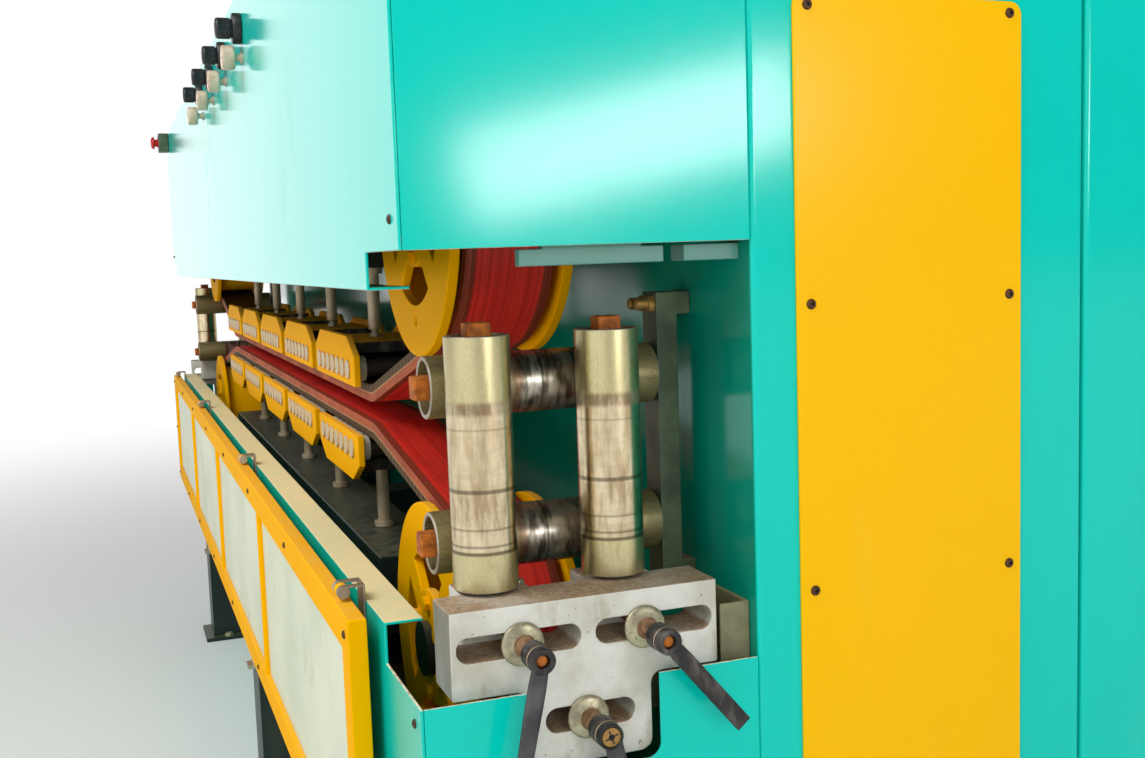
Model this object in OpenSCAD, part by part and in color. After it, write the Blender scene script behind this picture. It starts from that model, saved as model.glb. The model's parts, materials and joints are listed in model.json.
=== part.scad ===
// Belt haul-off for stranded cable: two red belts pull the cable between rows of sprung rollers.
// +X runs along the cable towards the outlet end, -Y is the operator's side, +Z is up.
// The origin is on the floor, at the middle of the machine's outline.

/* [Machine] */
// Length of the housings from end panel to end panel
machine_length = 3500; // [3200:10:4200]
// Height of the cable's path above the floor
pass_z = 977; // [960:1:1040]
// Sheet thickness of the housings
sheet = 3; // [2:0.5:5]
// Gap left between two pieces that are screwed together
seat_gap = 0.3; // [0.1:0.1:0.5]
// Radial play between an axle and what turns on it
axle_play = 0.1; // [0.05:0.05:0.2]

/* [Cabinet] */
// Depth of the front part of the cabinet
cabinet_depth = 402; // [350:1:450]
// Depth of the rear part of the cabinet
rear_depth = 400; // [300:1:500]
// Open joint between the two parts of the cabinet
cabinet_joint = 3; // [1:0.5:6]
// Height of the cabinet's top above the floor
cabinet_top_z = 1650; // [1600:5:1750]
// Height of the plinth under the cabinet
plinth_height = 100; // [80:5:140]
// How far the plinth stands back from the cabinet's faces
plinth_inset = 40; // [20:5:60]
// Number of cover panels along the rear
rear_panel_count = 4; // [3:1:6]
// Thickness of a rear panel
rear_panel_thickness = 4; // [2:0.5:8]
// Margin round each rear panel
rear_panel_margin = 40; // [20:5:60]

/* [Cover plates] */
// Width of a yellow cover plate
cover_width = 269; // [240:1:290]
// Height of a yellow cover plate
cover_height = 886; // [700:1:900]
// Height of a cover plate's top edge above the floor
cover_top_z = 1442; // [1400:1:1500]
// Thickness of a cover plate
cover_thickness = 4; // [2:0.5:8]
// Corner radius of a cover plate
cover_radius = 14; // [8:1:20]
// Distance from the cabinet's front face to a cover plate
cover_offset = 48; // [30:1:60]

/* [Hood] */
// Depth of the hood and of the tray
hood_depth = 340; // [330:1:380]
// Height of the front wall's bottom edge
hood_bottom_z = 1171; // [1160:1:1180]
// Height of the end panels' bottom edge
hood_end_z = 1208; // [1195:1:1215]
// Length of the notch at each lower corner
notch_length = 147; // [120:1:155]
// Width of the flange bent inwards along the bottom
hood_flange = 43; // [30:1:55]
// Height of the folded lip below an end panel
lip_drop = 18; // [10:1:24]
// How far the lips stand back from the end panel
lip_setback = 20; // [15:1:30]
// Length of the folded channel
lip_length = 146; // [120:1:160]
// Distance from the cabinet to the channel's middle
lip_offset = 154; // [145:1:165]
// Length of the block that holds the channel
lip_hold = 100; // [80:1:120]
// Height of that block above the end panel's bottom edge
lip_rise = 30; // [20:1:40]
// Length of the shelf between the channel and the cabinet
lip_shelf = 60; // [40:1:70]

/* [Tray] */
// Height of the tray's ledge
ledge_z = 839; // [830:1:845]
// Width of the ledge
ledge_depth = 40; // [30:1:50]
// Height of the tray's end panels
tray_end_z = 797; // [790:1:805]
// Length of the low stretch of front wall beside an end panel
low_length = 145; // [120:1:155]
// Height of the tray's floor
tray_floor_z = 430; // [400:5:440]
// Corner radius of the cut-out in an end panel
cutout_radius = 14; // [8:1:20]
// Gap between the cut-out and the guide plate's stem
cutout_gap = 2; // [1:0.5:5]

/* [Legs] */
// Width of a front leg along the machine
leg_width = 120; // [100:5:160]
// Depth of a front leg
leg_depth = 90; // [70:5:120]
// Distance from each end panel to the leg beside it
leg_inset = 400; // [300:10:700]
// Thickness of a leg's foot plate
foot_thickness = 12; // [8:1:20]
// Rim of a foot plate round its leg
foot_rim = 25; // [15:1:40]
// Diameter of an anchor hole
anchor_diameter = 14; // [10:1:16]

/* [Guard] */
// Height of the hinged guard
guard_height = 346; // [340:1:360]
// Distance from each end panel to the guard
guard_setback = 167; // [160:1:200]
// Thickness of the guard's frame
guard_thickness = 20; // [14:1:22]
// Width of the guard's frame
guard_border = 40; // [30:1:50]
// Thickness of the guard's infill panels
guard_panel_thickness = 5; // [3:1:8]
// Number of infill panels
guard_panel_count = 4; // [3:1:8]
// Width of the bars between the panels
guard_bar = 12; // [8:1:30]
// Gap between the tray's wall and the guard
guard_gap = 13; // [10:1:20]
// Radius of a hinge knuckle
knuckle_radius = 7; // [5:0.5:8]
// Radius of a hinge pin
hinge_pin_radius = 4; // [3:0.5:4.5]
// Length of a hinge knuckle
knuckle_length = 14; // [12:1:40]
// Gap between neighbouring knuckles
knuckle_gap = 1; // [0.5:0.5:2]
// Number of hinges
hinge_count = 4; // [3:1:6]
// Distance from each end of the guard to the hinge beside it
hinge_inset = 85; // [60:5:200]
// Distance from the guard's top edge up to the hinge's axis
hinge_rise = 10; // [9:1:14]

/* [Belts] */
// Width of a belt
belt_width = 100; // [90:1:110]
// Thickness of a belt, with its toothed inner layer
belt_thickness = 26; // [22:1:28]
// Gap between the two belts along the press
belt_nip = 30; // [20:1:40]
// Length of the flat stretch where the belts press
press_length = 2000; // [1960:2:2200]

/* [Drums] */
// Radius of a drum's rim
drum_radius = 141; // [136:1:145]
// Outer radius of a drum's flanges
flange_radius = 175; // [170:1:180]
// Inner radius of a flange's ring
ring_inner_radius = 114; // [105:1:117]
// Width of a drum over its flanges
drum_width = 141; // [136:1:150]
// Thickness of a flange
flange_thickness = 12; // [8:1:14]
// Radius of a drum's hub
hub_radius = 70; // [60:1:80]
// Width of a spoke
spoke_width = 40; // [30:1:50]
// Number of spokes
spoke_count = 4; // [3:1:6]
// Radius of a drum's shaft
shaft_radius = 25; // [20:1:30]
// Distance from an end panel to a drum's axis
drum_setback = 369; // [360:1:400]
// Height halfway between the upper and the lower drums
drum_mid_z = 998; // [985:1:1010]
// Distance from that height up or down to a drum's axis
drum_rise = 263; // [258:1:270]
// Running gap between a drum and its belt
drum_play = 1; // [0.5:0.5:2]
// Thickness of a drum's rim
drum_rim = 18; // [16:1:20]
// Distance from a drum's axis to a screw hole in its ring
ring_hole_place = 133; // [132:1:134]
// Radius of a screw hole in a ring
ring_hole_radius = 6; // [3:0.5:6.5]

/* [Press] */
// Number of roller carriers above and below
carrier_count = 5; // [4:1:5]
// Distance between carriers
carrier_pitch = 400; // [390:5:420]
// Length of a carrier's wide side
carrier_length = 350; // [330:5:385]
// Length of a carrier's narrow side
carrier_top_length = 240; // [200:5:320]
// Height of a carrier's side plate
carrier_height = 74; // [66:1:78]
// Distance from the press rollers' axes to the wide side of a side plate
carrier_skirt = 24; // [22:1:28]
// Height of the sloping corners of a side plate
carrier_corner = 28; // [20:1:40]
// Distance from a side plate's narrow side to the yoke between the plates
yoke_drop = 11; // [5:1:20]
// Thickness of a carrier's side plate
carrier_plate = 10; // [6:1:12]
// Distance between the outer faces of a carrier's side plates
carrier_width = 140; // [134:1:150]
// Radius of a press roller
press_roller_radius = 19.5; // [15:0.5:20]
// Width of the bearing at each end of a press roller
bearing_width = 14; // [10:1:20]
// Radius of a press roller's sleeve between its bearings
sleeve_radius = 14; // [10:0.5:15]
// Radius of a press roller's pin
pin_radius = 6; // [4:0.5:8]
// Radius of the cap on a pin
pin_cap_radius = 14.5; // [10:0.5:16]
// Thickness of the cap on a pin
pin_cap = 3; // [2:0.5:4]
// Number of press rollers in a carrier
press_roller_count = 7; // [5:1:7]
// Radius of the rod that pushes a carrier
rod_radius = 6; // [4:0.5:8]
// Radius of a press cylinder
cylinder_radius = 10; // [8:0.5:14]
// Height of a press cylinder
cylinder_height = 101; // [80:1:115]
// Thickness of the flange at a cylinder's fixed end
cylinder_flange = 10; // [6:1:14]
// Height of a press beam
beam_height = 120; // [100:5:140]
// Width of a press beam
beam_width = 110; // [90:5:130]
// Length of a press beam
beam_length = 2034; // [1900:2:2200]
// Distance from a carrier's yoke to its cylinder
rod_reach = 12; // [8:1:20]

/* [Guide stand] */
// Outer radius of a guide roller
roller_radius = 32; // [28:0.5:34]
// Wall of a guide roller's tube
roller_wall = 5; // [3:0.5:7]
// Length of a guide roller
roller_length = 246; // [220:1:260]
// Depth of the recess in a roller's end
roller_recess = 12; // [6:1:20]
// Radius of a roller's axle
axle_radius = 10; // [7:0.5:12]
// Side of the square head on an axle
axle_head = 24; // [21:1:28]
// How far an axle's head stands out of its roller
axle_reach = 12; // [8:1:20]
// Distance from the end panel to the guide plate
plate_setback = 16; // [10:1:20]
// Thickness of the guide plate
plate_thickness = 60; // [50:1:64]
// Width of the guide plate's bar
plate_width = 272; // [268:1:290]
// Height of the guide plate's top edge
plate_top_z = 877; // [870:1:885]
// Height of the guide plate's bar
plate_bar = 84; // [76:1:90]
// Width of the guide plate's stem
stem_width = 127; // [110:1:140]
// Height of the stem's lower edge
stem_bottom_z = 716; // [700:1:725]
// Fillet between the bar and the stem
stem_fillet = 12; // [6:1:20]
// Height of the two upper slots
slot_z = 840; // [836:1:844]
// Length of an upper slot
slot_length = 123; // [110:1:125]
// Height of a slot
slot_height = 24; // [20:1:26]
// Distance between the middles of the upper slots
slot_spacing = 138; // [136:1:142]
// Height of the lower slot
lower_slot_z = 760; // [756:1:765]
// Length of the lower slot
lower_slot_length = 92; // [80:1:100]
// Height of the bar that holds the guide plate
mount_height = 56; // [50:1:64]
// Distance from the guide plate's top edge down to its mount's
mount_drop = 27; // [20:1:40]
// Distance from the end panel to the upright rollers' axes
upright_setback = 83; // [80:1:86]
// Place of the left upright roller across the machine
left_upright_y = -80; // [-84:1:-76]
// Place of the right upright roller across the machine
right_upright_y = 54; // [50:1:60]
// Place of the left clamp stud across the machine
left_stud_y = -67; // [-72:1:-60]
// Place of the right clamp stud across the machine
right_stud_y = 57; // [52:1:62]
// Depth of a roller carriage behind the guide plate
carriage_depth = 44; // [38:1:50]
// Width of a roller carriage
carriage_width = 70; // [60:1:76]
// Height of a roller carriage
carriage_height = 62; // [55:1:70]
// Gap under an upright roller
roller_gap = 3; // [1:0.5:6]
// Clearance between the upright rollers and the level ones
roller_clearance = 6; // [5:1:12]
// Height of the middle of the two level rollers
level_mid_z = 992; // [988:1:1000]
// Distance between the axes of the level rollers
level_spacing = 159; // [150:1:165]
// Place of the level rollers' open ends across the machine
level_end_y = -117; // [-125:1:-110]
// Width of the flat bar of the bracket
bracket_bar = 24; // [18:1:30]
// Depth of the bracket along the machine
bracket_depth = 36; // [30:1:40]
// Height of the bracket's top
bracket_top_z = 1157; // [1145:1:1160]
// Height of the bracket's bottom
bracket_bottom_z = 843; // [830:1:850]

/* [Clamp levers] */
// Radius of a stud
stud_radius = 6; // [4:0.5:8]
// Radius of a zinc collar
collar_radius = 21; // [18:0.5:24]
// Thickness of a zinc collar's flange
collar_thickness = 8; // [5:1:12]
// Radius of a collar's boss
boss_radius = 9.5; // [8:0.5:13]
// Length of a collar's boss
boss_length = 22; // [15:1:30]
// Radius of a lever's hub
lever_hub_radius = 13; // [11:0.5:15]
// Length of a lever's hub
lever_hub_length = 30; // [24:1:36]
// Length of a lever's arm from its stud
lever_length = 110; // [90:1:115]
// Width of a lever's flat arm
lever_width = 17; // [12:0.5:18]
// Thickness of a lever's arm
lever_thickness = 8; // [5:0.5:10]
// Slope of the left lever from straight down
left_lever_angle = 12; // [5:1:20]
// Slope of the right lever from straight down
right_lever_angle = 40; // [30:1:50]
// Slope of the lower lever from straight down
lower_lever_angle = 25; // [20:1:30]

/* [Controls] */
// Number of pressure regulators on the hood
regulator_count = 4; // [2:1:5]
// Distance between regulators
regulator_pitch = 278; // [200:1:300]
// Distance from the outlet end panel to the first regulator
regulator_setback = 1085; // [1000:5:1300]
// Distance from the hood's top down to the regulators' knobs
regulator_drop = 64; // [56:1:80]
// Radius of a regulator's knob
knob_radius = 17; // [14:0.5:20]
// Length of a regulator's knob
knob_length = 26; // [20:1:40]
// Radius of a knob's flange
knob_flange_radius = 25; // [22:0.5:27]
// Thickness of a knob's flange
knob_flange = 15; // [10:1:20]
// Radius of a pressure gauge
gauge_radius = 20; // [16:0.5:22]
// Thickness of a pressure gauge
gauge_thickness = 22; // [15:1:28]
// Radius of the stop button's cap
stop_radius = 20; // [16:1:25]
// Distance from the inlet end panel to the stop button
stop_setback = 105; // [60:5:250]
// Distance from the hood's top down to the stop button
stop_drop = 34; // [32:1:80]
// How far the stop button stands out of the hood's front wall
stop_reach = 56; // [50:1:60]

/* [Hidden] */
$fn = 64;
end_x = machine_length / 2;
front_y = -hood_depth / 2;
cabinet_y = hood_depth / 2 + sheet;
rear_y = cabinet_y + cabinet_depth + cabinet_joint;
back_y = rear_y + rear_depth;
front_reach = -front_y + stop_reach;
belt_y = (front_reach - back_y - rear_panel_thickness) / 2;

drum_x = end_x - drum_setback;
upper_drum_z = drum_mid_z + drum_rise;
lower_drum_z = drum_mid_z - drum_rise;
upper_rise = upper_drum_z - pass_z;
lower_rise = pass_z - lower_drum_z;
bend_bite = 0.05;
belt_inner_radius = drum_radius + drum_play;
belt_outer_radius = belt_inner_radius + belt_thickness;
press_x = press_length / 2;
press_z = pass_z + belt_nip / 2;
roller_z = press_z + belt_thickness + seat_gap + press_roller_radius;
carrier_z = roller_z - carrier_skirt;
carrier_top_z = carrier_z + carrier_height;
yoke_top_z = carrier_top_z - yoke_drop;
cylinder_z = yoke_top_z + rod_reach;
beam_z = cylinder_z + cylinder_height;

guard_length = machine_length - 2 * guard_setback;
guard_y = front_y - guard_gap - guard_thickness;
guard_top_z = ledge_z + 1;
hinge_y = guard_y + guard_thickness / 2;
hinge_z = guard_top_z + hinge_rise;
panel_pitch = (guard_length - 2 * guard_border + guard_bar) / guard_panel_count;
hinge_pitch = (guard_length - 2 * hinge_inset) / (hinge_count - 1);

plate_x = end_x - plate_setback;
plate_back_x = plate_x - plate_thickness;
upright_x = end_x - upright_setback;
level_x = upright_x - 2 * roller_radius - roller_clearance;
level_back_y = level_end_y + roller_length;
bracket_y = level_back_y + 4;
carriage_x = plate_back_x - seat_gap;
carriage_top_z = plate_top_z + seat_gap;
collar_x = plate_x + seat_gap;
boss_x = collar_x + collar_thickness;
lever_x = boss_x + boss_length + 0.5;
lever_arm_x = lever_x + lever_hub_length - 1 - lever_thickness;
mount_x = carriage_x;

regulator_z = cabinet_top_z - regulator_drop;

// Moves a shape from the belts' own frame, where y is 0 on the cable, to the machine's
module in_place() {
    translate([0, belt_y, 0]) children();
}

// A shape and its mirror image at the inlet end
module both_ends() {
    children();
    mirror([1, 0, 0]) children();
}

// A shape above the cable and its mirror image below
module both_sides() {
    children();
    below() children();
}

// The mirror image of a shape below the cable's path
module below() {
    translate([0, 0, 2 * pass_z]) mirror([0, 0, 1]) children();
}

// A box given by its lowest and highest corners
module block(low, high) {
    translate(low) cube(high - low);
}

// A straight cylinder along Y from y0 to y1
module bar_y(radius, y0, y1) {
    translate([0, y0, 0]) rotate([-90, 0, 0]) cylinder(h = y1 - y0, r = radius);
}

// A straight cylinder along X from x0 to x1
module bar_x(radius, x0, x1) {
    translate([x0, 0, 0]) rotate([0, 90, 0]) cylinder(h = x1 - x0, r = radius);
}

// An outline drawn with x along the machine and y up, made thick across the machine
module across(y0, y1) {
    translate([0, y1, 0]) rotate([90, 0, 0]) linear_extrude(height = y1 - y0) children();
}

// An outline drawn with x across the machine and y up, made thick along the machine
module along(x0, x1) {
    translate([x0, 0, 0]) rotate([90, 0, 90]) linear_extrude(height = x1 - x0) children();
}

// Plinth under the cabinet, with three legs on foot plates under the tray
module base_frame() {
    color("dimgray") in_place() {
        block([-end_x + plinth_inset, cabinet_y + plinth_inset, 0],
            [end_x - plinth_inset, back_y - plinth_inset, plinth_height]);
        for (side = [-1:1]) front_leg(side * (end_x - leg_inset));
    }
}

// A box post from its foot plate up to the tray's floor
module front_leg(x) {
    leg_y = front_y + foot_rim + leg_depth / 2;
    plate_half = leg_width / 2 + foot_rim;
    block([x - leg_width / 2, leg_y - leg_depth / 2, foot_thickness],
        [x + leg_width / 2, leg_y + leg_depth / 2, tray_floor_z]);
    difference() {
        block([x - plate_half, leg_y - leg_depth / 2 - foot_rim, 0],
            [x + plate_half, leg_y + leg_depth / 2 + foot_rim, foot_thickness]);
        for (side = [-1, 1])
            translate([x + side * (leg_width + foot_rim) / 2, leg_y, -1])
                cylinder(h = foot_thickness + 2, d = anchor_diameter);
    }
}

// Front part of the cabinet, which carries the belts
module cabinet_front() {
    color("lightseagreen") in_place()
        block([-end_x, cabinet_y, plinth_height], [end_x, cabinet_y + cabinet_depth, cabinet_top_z]);
}

// Rear part of the cabinet, which holds the drives
module cabinet_rear() {
    color("lightseagreen") in_place()
        block([-end_x, rear_y, plinth_height], [end_x, back_y, cabinet_top_z]);
}

// Screwed covers along the rear
module rear_panels() {
    pitch = (machine_length - rear_panel_margin) / rear_panel_count;
    color("lightseagreen") in_place()
        for (i = [0:rear_panel_count - 1])
            block([-end_x + rear_panel_margin + i * pitch, back_y, plinth_height + rear_panel_margin],
                [-end_x + (i + 1) * pitch, back_y + rear_panel_thickness,
                cabinet_top_z - rear_panel_margin]);
}

// A rectangle with round corners, from its low corner
module rounded(size, radius) {
    union() {
        translate([radius, 0]) square([size[0] - 2 * radius, size[1]]);
        translate([0, radius]) square([size[0], size[1] - 2 * radius]);
        for (x = [radius, size[0] - radius])
            for (y = [radius, size[1] - radius])
                translate([x, y]) circle(r = radius);
    }
}

// Yellow cover plates on the cabinet's ends
module cover_plates() {
    color("gold") in_place() both_ends()
        along(end_x, end_x + cover_thickness)
            translate([cabinet_y + cover_offset, cover_top_z - cover_height])
                rounded([cover_width, cover_height], cover_radius);
}

// Front wall of the hood, with its notches and the flange bent inwards
module hood_front() {
    color("aquamarine") in_place() {
        across(front_y, front_y + sheet)
            polygon([[-end_x, hood_end_z], [-end_x + notch_length, hood_end_z],
                [-end_x + notch_length, hood_bottom_z], [end_x - notch_length, hood_bottom_z],
                [end_x - notch_length, hood_end_z], [end_x, hood_end_z],
                [end_x, cabinet_top_z], [-end_x, cabinet_top_z]]);
        block([-end_x + notch_length, front_y, hood_bottom_z],
            [end_x - notch_length, front_y + hood_flange, hood_bottom_z + sheet]);
    }
}

// End panels of the hood
module hood_ends() {
    color("mediumturquoise") in_place() both_ends()
        block([end_x - sheet, front_y + sheet + seat_gap, hood_end_z],
            [end_x, cabinet_y - seat_gap, cabinet_top_z]);
}

// Top of the hood
module hood_top() {
    color("mediumturquoise") in_place()
        block([-end_x + sheet + seat_gap, front_y + sheet + seat_gap, cabinet_top_z - sheet],
            [end_x - sheet - seat_gap, cabinet_y - seat_gap, cabinet_top_z]);
}

// Folded channel, with the block that holds it, and the shelf beside it, under each end panel
module hood_lips() {
    fold = 12;
    shelf_depth = 30;
    lip_x = end_x - sheet - lip_setback;
    lip_top = hood_end_z - 2;
    middle = cabinet_y - lip_offset;
    color("cadetblue") in_place() both_ends() {
        block([lip_x - fold, middle - lip_length / 2, hood_end_z - lip_drop],
            [lip_x, middle + lip_length / 2, lip_top]);
        block([lip_x - fold, middle - lip_hold / 2, lip_top],
            [lip_x, middle + lip_hold / 2, hood_end_z + lip_rise]);
        block([lip_x, middle - lip_hold / 2, hood_end_z + 4],
            [end_x - sheet - seat_gap, middle + lip_hold / 2, hood_end_z + lip_rise]);
        block([lip_x - shelf_depth, cabinet_y - lip_shelf, hood_end_z - lip_drop],
            [lip_x, cabinet_y - seat_gap, lip_top]);
    }
}

// Front wall of the tray, with its ledge bent inwards and the low stretches at the ends
module tray_front() {
    color("aquamarine") in_place() {
        across(front_y, front_y + sheet)
            polygon([[-end_x, tray_floor_z], [end_x, tray_floor_z], [end_x, tray_end_z],
                [end_x - low_length, tray_end_z], [end_x - low_length, ledge_z],
                [-end_x + low_length, ledge_z], [-end_x + low_length, tray_end_z], [-end_x, tray_end_z]]);
        block([-end_x + low_length, front_y, ledge_z - sheet],
            [end_x - low_length, front_y + ledge_depth, ledge_z]);
    }
}

// End panels of the tray, cut out round the guide plate's stem
module tray_ends() {
    half = stem_width / 2 + cutout_gap;
    bottom = stem_bottom_z - cutout_gap;
    color("mediumturquoise") in_place() both_ends()
        along(end_x - sheet, end_x)
            difference() {
                translate([front_y + sheet + seat_gap, tray_floor_z])
                    square([cabinet_y - front_y - sheet - 2 * seat_gap, tray_end_z - tray_floor_z]);
                translate([-half, bottom])
                    rounded([2 * half, tray_end_z - bottom + cutout_radius * 2], cutout_radius);
            }
}

// Floor of the tray
module tray_floor() {
    color("mediumturquoise") in_place()
        block([-end_x + sheet + seat_gap, front_y + sheet + seat_gap, tray_floor_z + seat_gap],
            [end_x - sheet - seat_gap, cabinet_y - seat_gap, tray_floor_z + seat_gap + sheet]);
}

// Yellow frame of the hinged guard, with its hinges' middle knuckles on short webs
module guard_frame() {
    web = 6;
    color("orange") in_place()
        difference() {
            union() {
                block([-guard_length / 2, guard_y, guard_top_z - guard_height],
                    [guard_length / 2, guard_y + guard_thickness, guard_top_z]);
                for (x = hinge_places()) translate([x, 0, 0]) {
                    block([-knuckle_length / 2, hinge_y - web / 2, guard_top_z - 1],
                        [knuckle_length / 2, hinge_y + web / 2, hinge_z]);
                    translate([0, hinge_y, hinge_z])
                        bar_x(knuckle_radius, -knuckle_length / 2, knuckle_length / 2);
                }
            }
            for (i = [0:guard_panel_count - 1])
                block([-guard_length / 2 + guard_border + i * panel_pitch, guard_y - 1,
                    guard_top_z - guard_height + guard_border],
                    [-guard_length / 2 + guard_border + (i + 1) * panel_pitch - guard_bar,
                    guard_y + guard_thickness + 1,
                    guard_top_z - guard_border]);
            for (x = hinge_places()) translate([x, hinge_y, hinge_z])
                bar_x(hinge_pin_radius + axle_play, -knuckle_length, knuckle_length);
        }
}

// Places of the hinges along the machine
function hinge_places() = [for (i = [0:hinge_count - 1]) hinge_inset - guard_length / 2 + i * hinge_pitch];

// Pale infill panels of the guard
module guard_panels() {
    panel_y = guard_y + guard_thickness / 2;
    color("lemonchiffon") in_place()
        for (i = [0:guard_panel_count - 1])
            block([-guard_length / 2 + guard_border + i * panel_pitch + seat_gap,
                panel_y - guard_panel_thickness / 2,
                guard_top_z - guard_height + guard_border + seat_gap],
                [-guard_length / 2 + guard_border + (i + 1) * panel_pitch - guard_bar - seat_gap,
                panel_y + guard_panel_thickness / 2,
                guard_top_z - guard_border - seat_gap]);
}

// Catches at the guard's free edge
module guard_latches() {
    latch_y = guard_y + guard_thickness / 2;
    latch_z = guard_top_z - guard_height;
    half_width = 15;
    half_depth = 4;
    drop = 32;
    hook = 10;
    color("silver") in_place()
        for (i = [-1, 1]) translate([i * hinge_pitch / 2, latch_y, latch_z]) {
            block([-half_width, -half_depth, -drop], [half_width, half_depth, -seat_gap]);
            block([-half_width, -half_depth - hook, -drop], [half_width, half_depth, 2 * half_depth - drop]);
        }
}

// Hinge leaves on the tray's front wall, with their pins
module guard_hinges() {
    leaf = 2.5;
    leaf_drop = 40;
    outer = knuckle_length / 2 + knuckle_gap;
    width = outer + knuckle_length * 0.6;
    color("silver") in_place()
        for (x = hinge_places()) translate([x, 0, 0]) {
            translate([0, hinge_y, hinge_z]) bar_x(hinge_pin_radius, -width, width);
            block([-width, front_y - seat_gap - leaf, ledge_z - leaf_drop],
                [width, front_y - seat_gap, hinge_z + knuckle_radius]);
            for (side = [-1, 1]) {
                low = side > 0 ? outer : -width;
                high = side > 0 ? width : -outer;
                translate([0, hinge_y, hinge_z]) bar_x(knuckle_radius, low, high);
                block([low, hinge_y, hinge_z + knuckle_radius - leaf],
                    [high, front_y - seat_gap, hinge_z + knuckle_radius]);
            }
        }
}

// Angle of the line from a belt's corner that touches the circle on a drum at the given rise
function ramp_angle(radius, x, z, rise) =
    let (dx = drum_x - x, dz = rise - z)
    atan2(dz, dx) - asin(radius / sqrt(dx * dx + dz * dz));

// Outline of a belt's loop, filled, with its heights from the cable's path. Its straight
// stretches end a hair inside the bends, so that each meets its bend at a clear edge.
module belt_loop(radius, x, z, rise) {
    angle = ramp_angle(radius, x, z, rise);
    inside = radius - bend_bite;
    touch = [drum_x + inside * sin(angle), rise - inside * cos(angle)];
    union() {
        polygon([[-x, z], [x, z], touch, [drum_x, rise], [drum_x, rise + radius],
            [-drum_x, rise + radius], [-drum_x, rise], [-touch[0], touch[1]]]);
        for (side = [-1, 1]) translate([side * drum_x, rise]) circle(r = radius, $fn = 128);
    }
}

// One endless belt above the cable, round drums at the given rise
module belt(rise) {
    half = belt_nip / 2;
    turn = ramp_angle(belt_outer_radius, press_x, half, rise);
    translate([0, 0, pass_z]) across(-belt_width / 2, belt_width / 2)
        difference() {
            belt_loop(belt_outer_radius, press_x, half, rise);
            belt_loop(belt_inner_radius, press_x - belt_thickness * tan(turn / 2),
                half + belt_thickness, rise);
        }
}

// Upper belt
module upper_belt() {
    color("firebrick") in_place() belt(upper_rise);
}

// Lower belt
module lower_belt() {
    color("firebrick") in_place() below() belt(lower_rise);
}

// Outline of a drum's face: a ring with holes, four spokes and a hub round the bore
module drum_face() {
    difference() {
        union() {
            difference() {
                circle(r = flange_radius, $fn = 128);
                circle(r = ring_inner_radius, $fn = 96);
            }
            circle(r = hub_radius);
            for (i = [0:spoke_count - 1])
                rotate(45 + i * 360 / spoke_count)
                    translate([hub_radius - 5, -spoke_width / 2])
                        square([ring_inner_radius - hub_radius + 10, spoke_width]);
        }
        circle(r = shaft_radius + axle_play);
        for (i = [0:spoke_count - 1])
            rotate(i * 360 / spoke_count)
                translate([ring_hole_place, 0]) circle(r = ring_hole_radius, $fn = 24);
    }
}

// A flanged drum with spokes, about its own axis along Y
module drum() {
    half = drum_width / 2;
    inner = half - flange_thickness;
    hub_wall = 18;
    across(-half, -inner) drum_face();
    across(inner, half) drum_face();
    across(-inner - 1, inner + 1)
        difference() {
            circle(r = drum_radius, $fn = 128);
            circle(r = drum_radius - drum_rim, $fn = 128);
        }
    across(-inner - 1, inner + 1)
        difference() {
            circle(r = shaft_radius + hub_wall);
            circle(r = shaft_radius + axle_play);
        }
}

// Upper drum at the outlet end
module outlet_upper_drum() {
    color("orange") in_place() translate([drum_x, 0, upper_drum_z]) drum();
}

// Lower drum at the outlet end
module outlet_lower_drum() {
    color("orange") in_place() translate([drum_x, 0, lower_drum_z]) drum();
}

// Upper drum at the inlet end
module inlet_upper_drum() {
    color("orange") in_place() translate([-drum_x, 0, upper_drum_z]) drum();
}

// Lower drum at the inlet end
module inlet_lower_drum() {
    color("orange") in_place() translate([-drum_x, 0, lower_drum_z]) drum();
}

// Shafts of the drums, with their bearing housings on the cabinet and end caps
module drum_shafts() {
    face = drum_width / 2 + 1;
    cap = 10;
    cap_rim = 8;
    collar = 30;
    collar_rim = 12;
    housing_rim = 35;
    color("darkslategray") in_place() both_ends()
        for (z = [lower_drum_z, upper_drum_z]) translate([drum_x, 0, z]) {
            bar_y(shaft_radius, -face, cabinet_y - seat_gap);
            bar_y(shaft_radius + cap_rim, -face - cap, -face);
            bar_y(shaft_radius + collar_rim, face, face + collar);
            bar_y(shaft_radius + housing_rim, face + collar - 1, cabinet_y - seat_gap);
        }
}

// Places of the roller carriers along the machine
function carrier_places() = [for (i = [0:carrier_count - 1]) (i - (carrier_count - 1) / 2) * carrier_pitch];

// Places of the rollers in a carrier
function roller_places() = [for (i = [0:press_roller_count - 1])
    (i - (press_roller_count - 1) / 2) * (2 * press_roller_radius + 4)];

// Outline of a carrier's side plate
module carrier_outline() {
    corner_z = carrier_top_z - carrier_corner;
    polygon([[-carrier_length / 2, carrier_z], [carrier_length / 2, carrier_z],
        [carrier_length / 2, corner_z], [carrier_top_length / 2, carrier_top_z],
        [-carrier_top_length / 2, carrier_top_z], [-carrier_length / 2, corner_z]]);
}

// Yellow carriers that hold the press rollers, above and below
module press_carriers() {
    half = carrier_width / 2;
    pocket_z = roller_z + press_roller_radius + 2;
    color("orange") in_place() both_sides()
        for (x = carrier_places()) translate([x, 0, 0]) {
            difference() {
                union() {
                    across(-half, -half + carrier_plate) carrier_outline();
                    across(half - carrier_plate, half) carrier_outline();
                    block([-carrier_top_length / 2, -half, pocket_z],
                        [carrier_top_length / 2, half, yoke_top_z]);
                }
                for (place = roller_places()) translate([place, 0, roller_z])
                    bar_y(pin_radius + axle_play, -half - 1, half + 1);
            }
        }
}

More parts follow.
